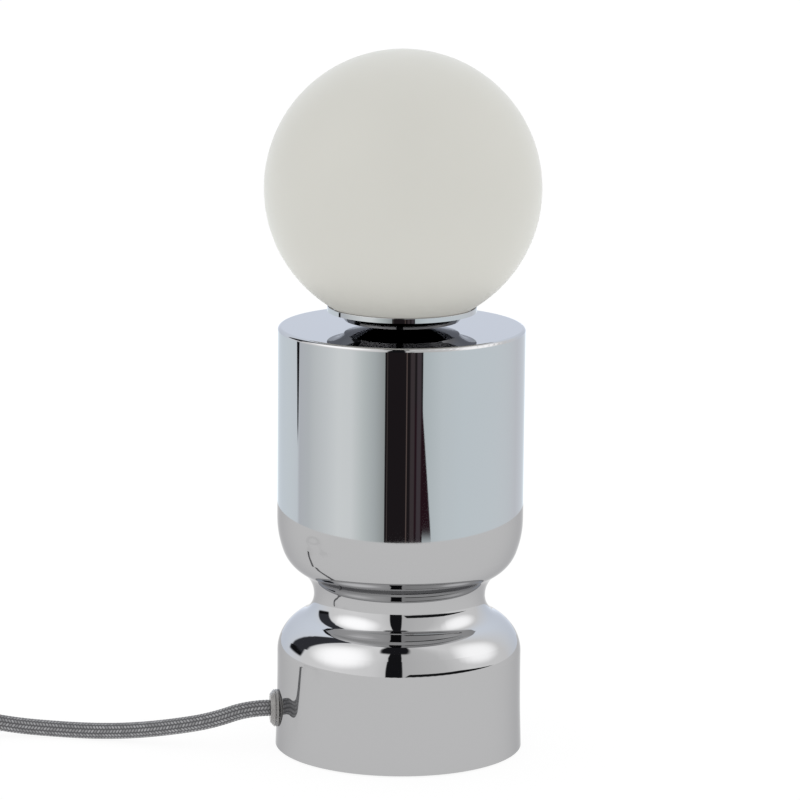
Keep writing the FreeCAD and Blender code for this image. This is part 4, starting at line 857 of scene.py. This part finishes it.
def surroundings(scene, stage):
    """Studio as the mirror body sees it, with lamps and dark gaps; everything else gets an even light."""
    scene.world = bpy.data.worlds.new("studio")
    scene.world.use_nodes = True
    tree = Tree(scene.world.node_tree)
    x, y, z = tree.split(tree.place("Generated"))
    sin, cos = math.sin(stage.bearing), math.cos(stage.bearing)
    bearing = (x * cos + y * sin).math("ARCTAN2", x * sin - y * cos) * DEGREES
    height = z.math("ARCSINE") * DEGREES

    def scaled(shade):
        return tuple(c / RAMP_TOP for c in (shade if isinstance(shade, tuple) else (shade,) * 3))

    def ring(shades):
        stops = [(place / 360 + 0.5, scaled(shade)) for place, shade in shades]
        return tree.ramp(bearing / 360 + 0.5, stops)

    seen = tree.mix(height.smooth(*EDGE), ring(TABLE_EDGE), ring(SCREENS))
    for bright, middle, reach in GLOWS:
        across, up = (bearing - middle[0]) / reach[0], (height - middle[1]) / reach[1]
        seen = tree.mix(1 - (across * across + up * up).smooth(0.0, 1.0), seen, scaled(bright))
    for shade, left, right, (low, high), (soft, fade) in GAPS:
        level = (height - low) / (high - low)
        from_left, to_right = (bearing - (level * (side[1] - side[0]) + side[0]) for side in (left, right))
        amount = from_left.smooth(-soft, soft) * (1 - to_right.smooth(-soft, soft))
        above_foot = height.smooth(low - fade, low + fade)
        amount = amount * above_foot * (1 - height.smooth(high - fade, high + fade))
        seen = tree.mix(amount, seen, scaled(shade))
    rays = tree.node("ShaderNodeLightPath")
    glossy, direct = (Value(tree, rays.outputs[name]) for name in ("Is Glossy Ray", "Is Camera Ray"))
    studio = tree.add("ShaderNodeBackground", None, seen, RAMP_TOP * stage.screens)
    even = tree.add("ShaderNodeBackground", None, (1.0, 1.0, 1.0), stage.daylight)
    white = tree.add("ShaderNodeBackground", None, (1.0, 1.0, 1.0), 1.0)
    light = tree.add("ShaderNodeMixShader", None, glossy, even, studio)
    tree.node("ShaderNodeOutputWorld", None, tree.add("ShaderNodeMixShader", None, direct, light, white))


class LAMP_PT_panel(Panel):
    """Sizes, finishes and makers of the lamp"""

    bl_idname = "LAMP_PT_panel"
    bl_label = "Globe table lamp"
    bl_space_type = "VIEW_3D"
    bl_region_type = "UI"
    bl_category = "Lamp"

    def draw(self, context):
        for group in ("lamp_settings", "lamp_cord", "lamp_stage"):
            box = self.layout.box()
            held = getattr(context.scene, group)
            for name in held.__annotations__:
                box.prop(held, name)
        for maker in MAKERS:
            self.layout.operator(maker.bl_idname)


GROUPS = {"lamp_settings": LampSettings, "lamp_cord": CordSettings, "lamp_stage": StageSettings}
MAKERS = [LAMP_OT_camera, LAMP_OT_cords, LAMP_OT_globe, LAMP_OT_finishes, LAMP_OT_stage]


def register():
    for made in (*GROUPS.values(), *MAKERS, LAMP_PT_panel):
        bpy.utils.register_class(made)
    for name, group in GROUPS.items():
        setattr(bpy.types.Scene, name, PointerProperty(type=group))


def unregister():
    for name in GROUPS:
        delattr(bpy.types.Scene, name)
    for made in (LAMP_PT_panel, *reversed(MAKERS), *GROUPS.values()):
        bpy.utils.unregister_class(made)


def main():
    register()
    for maker in MAKERS:
        area, name = maker.bl_idname.split(".")
        getattr(getattr(bpy.ops, area), name)()
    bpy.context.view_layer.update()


if __name__ == "__main__":
    main()
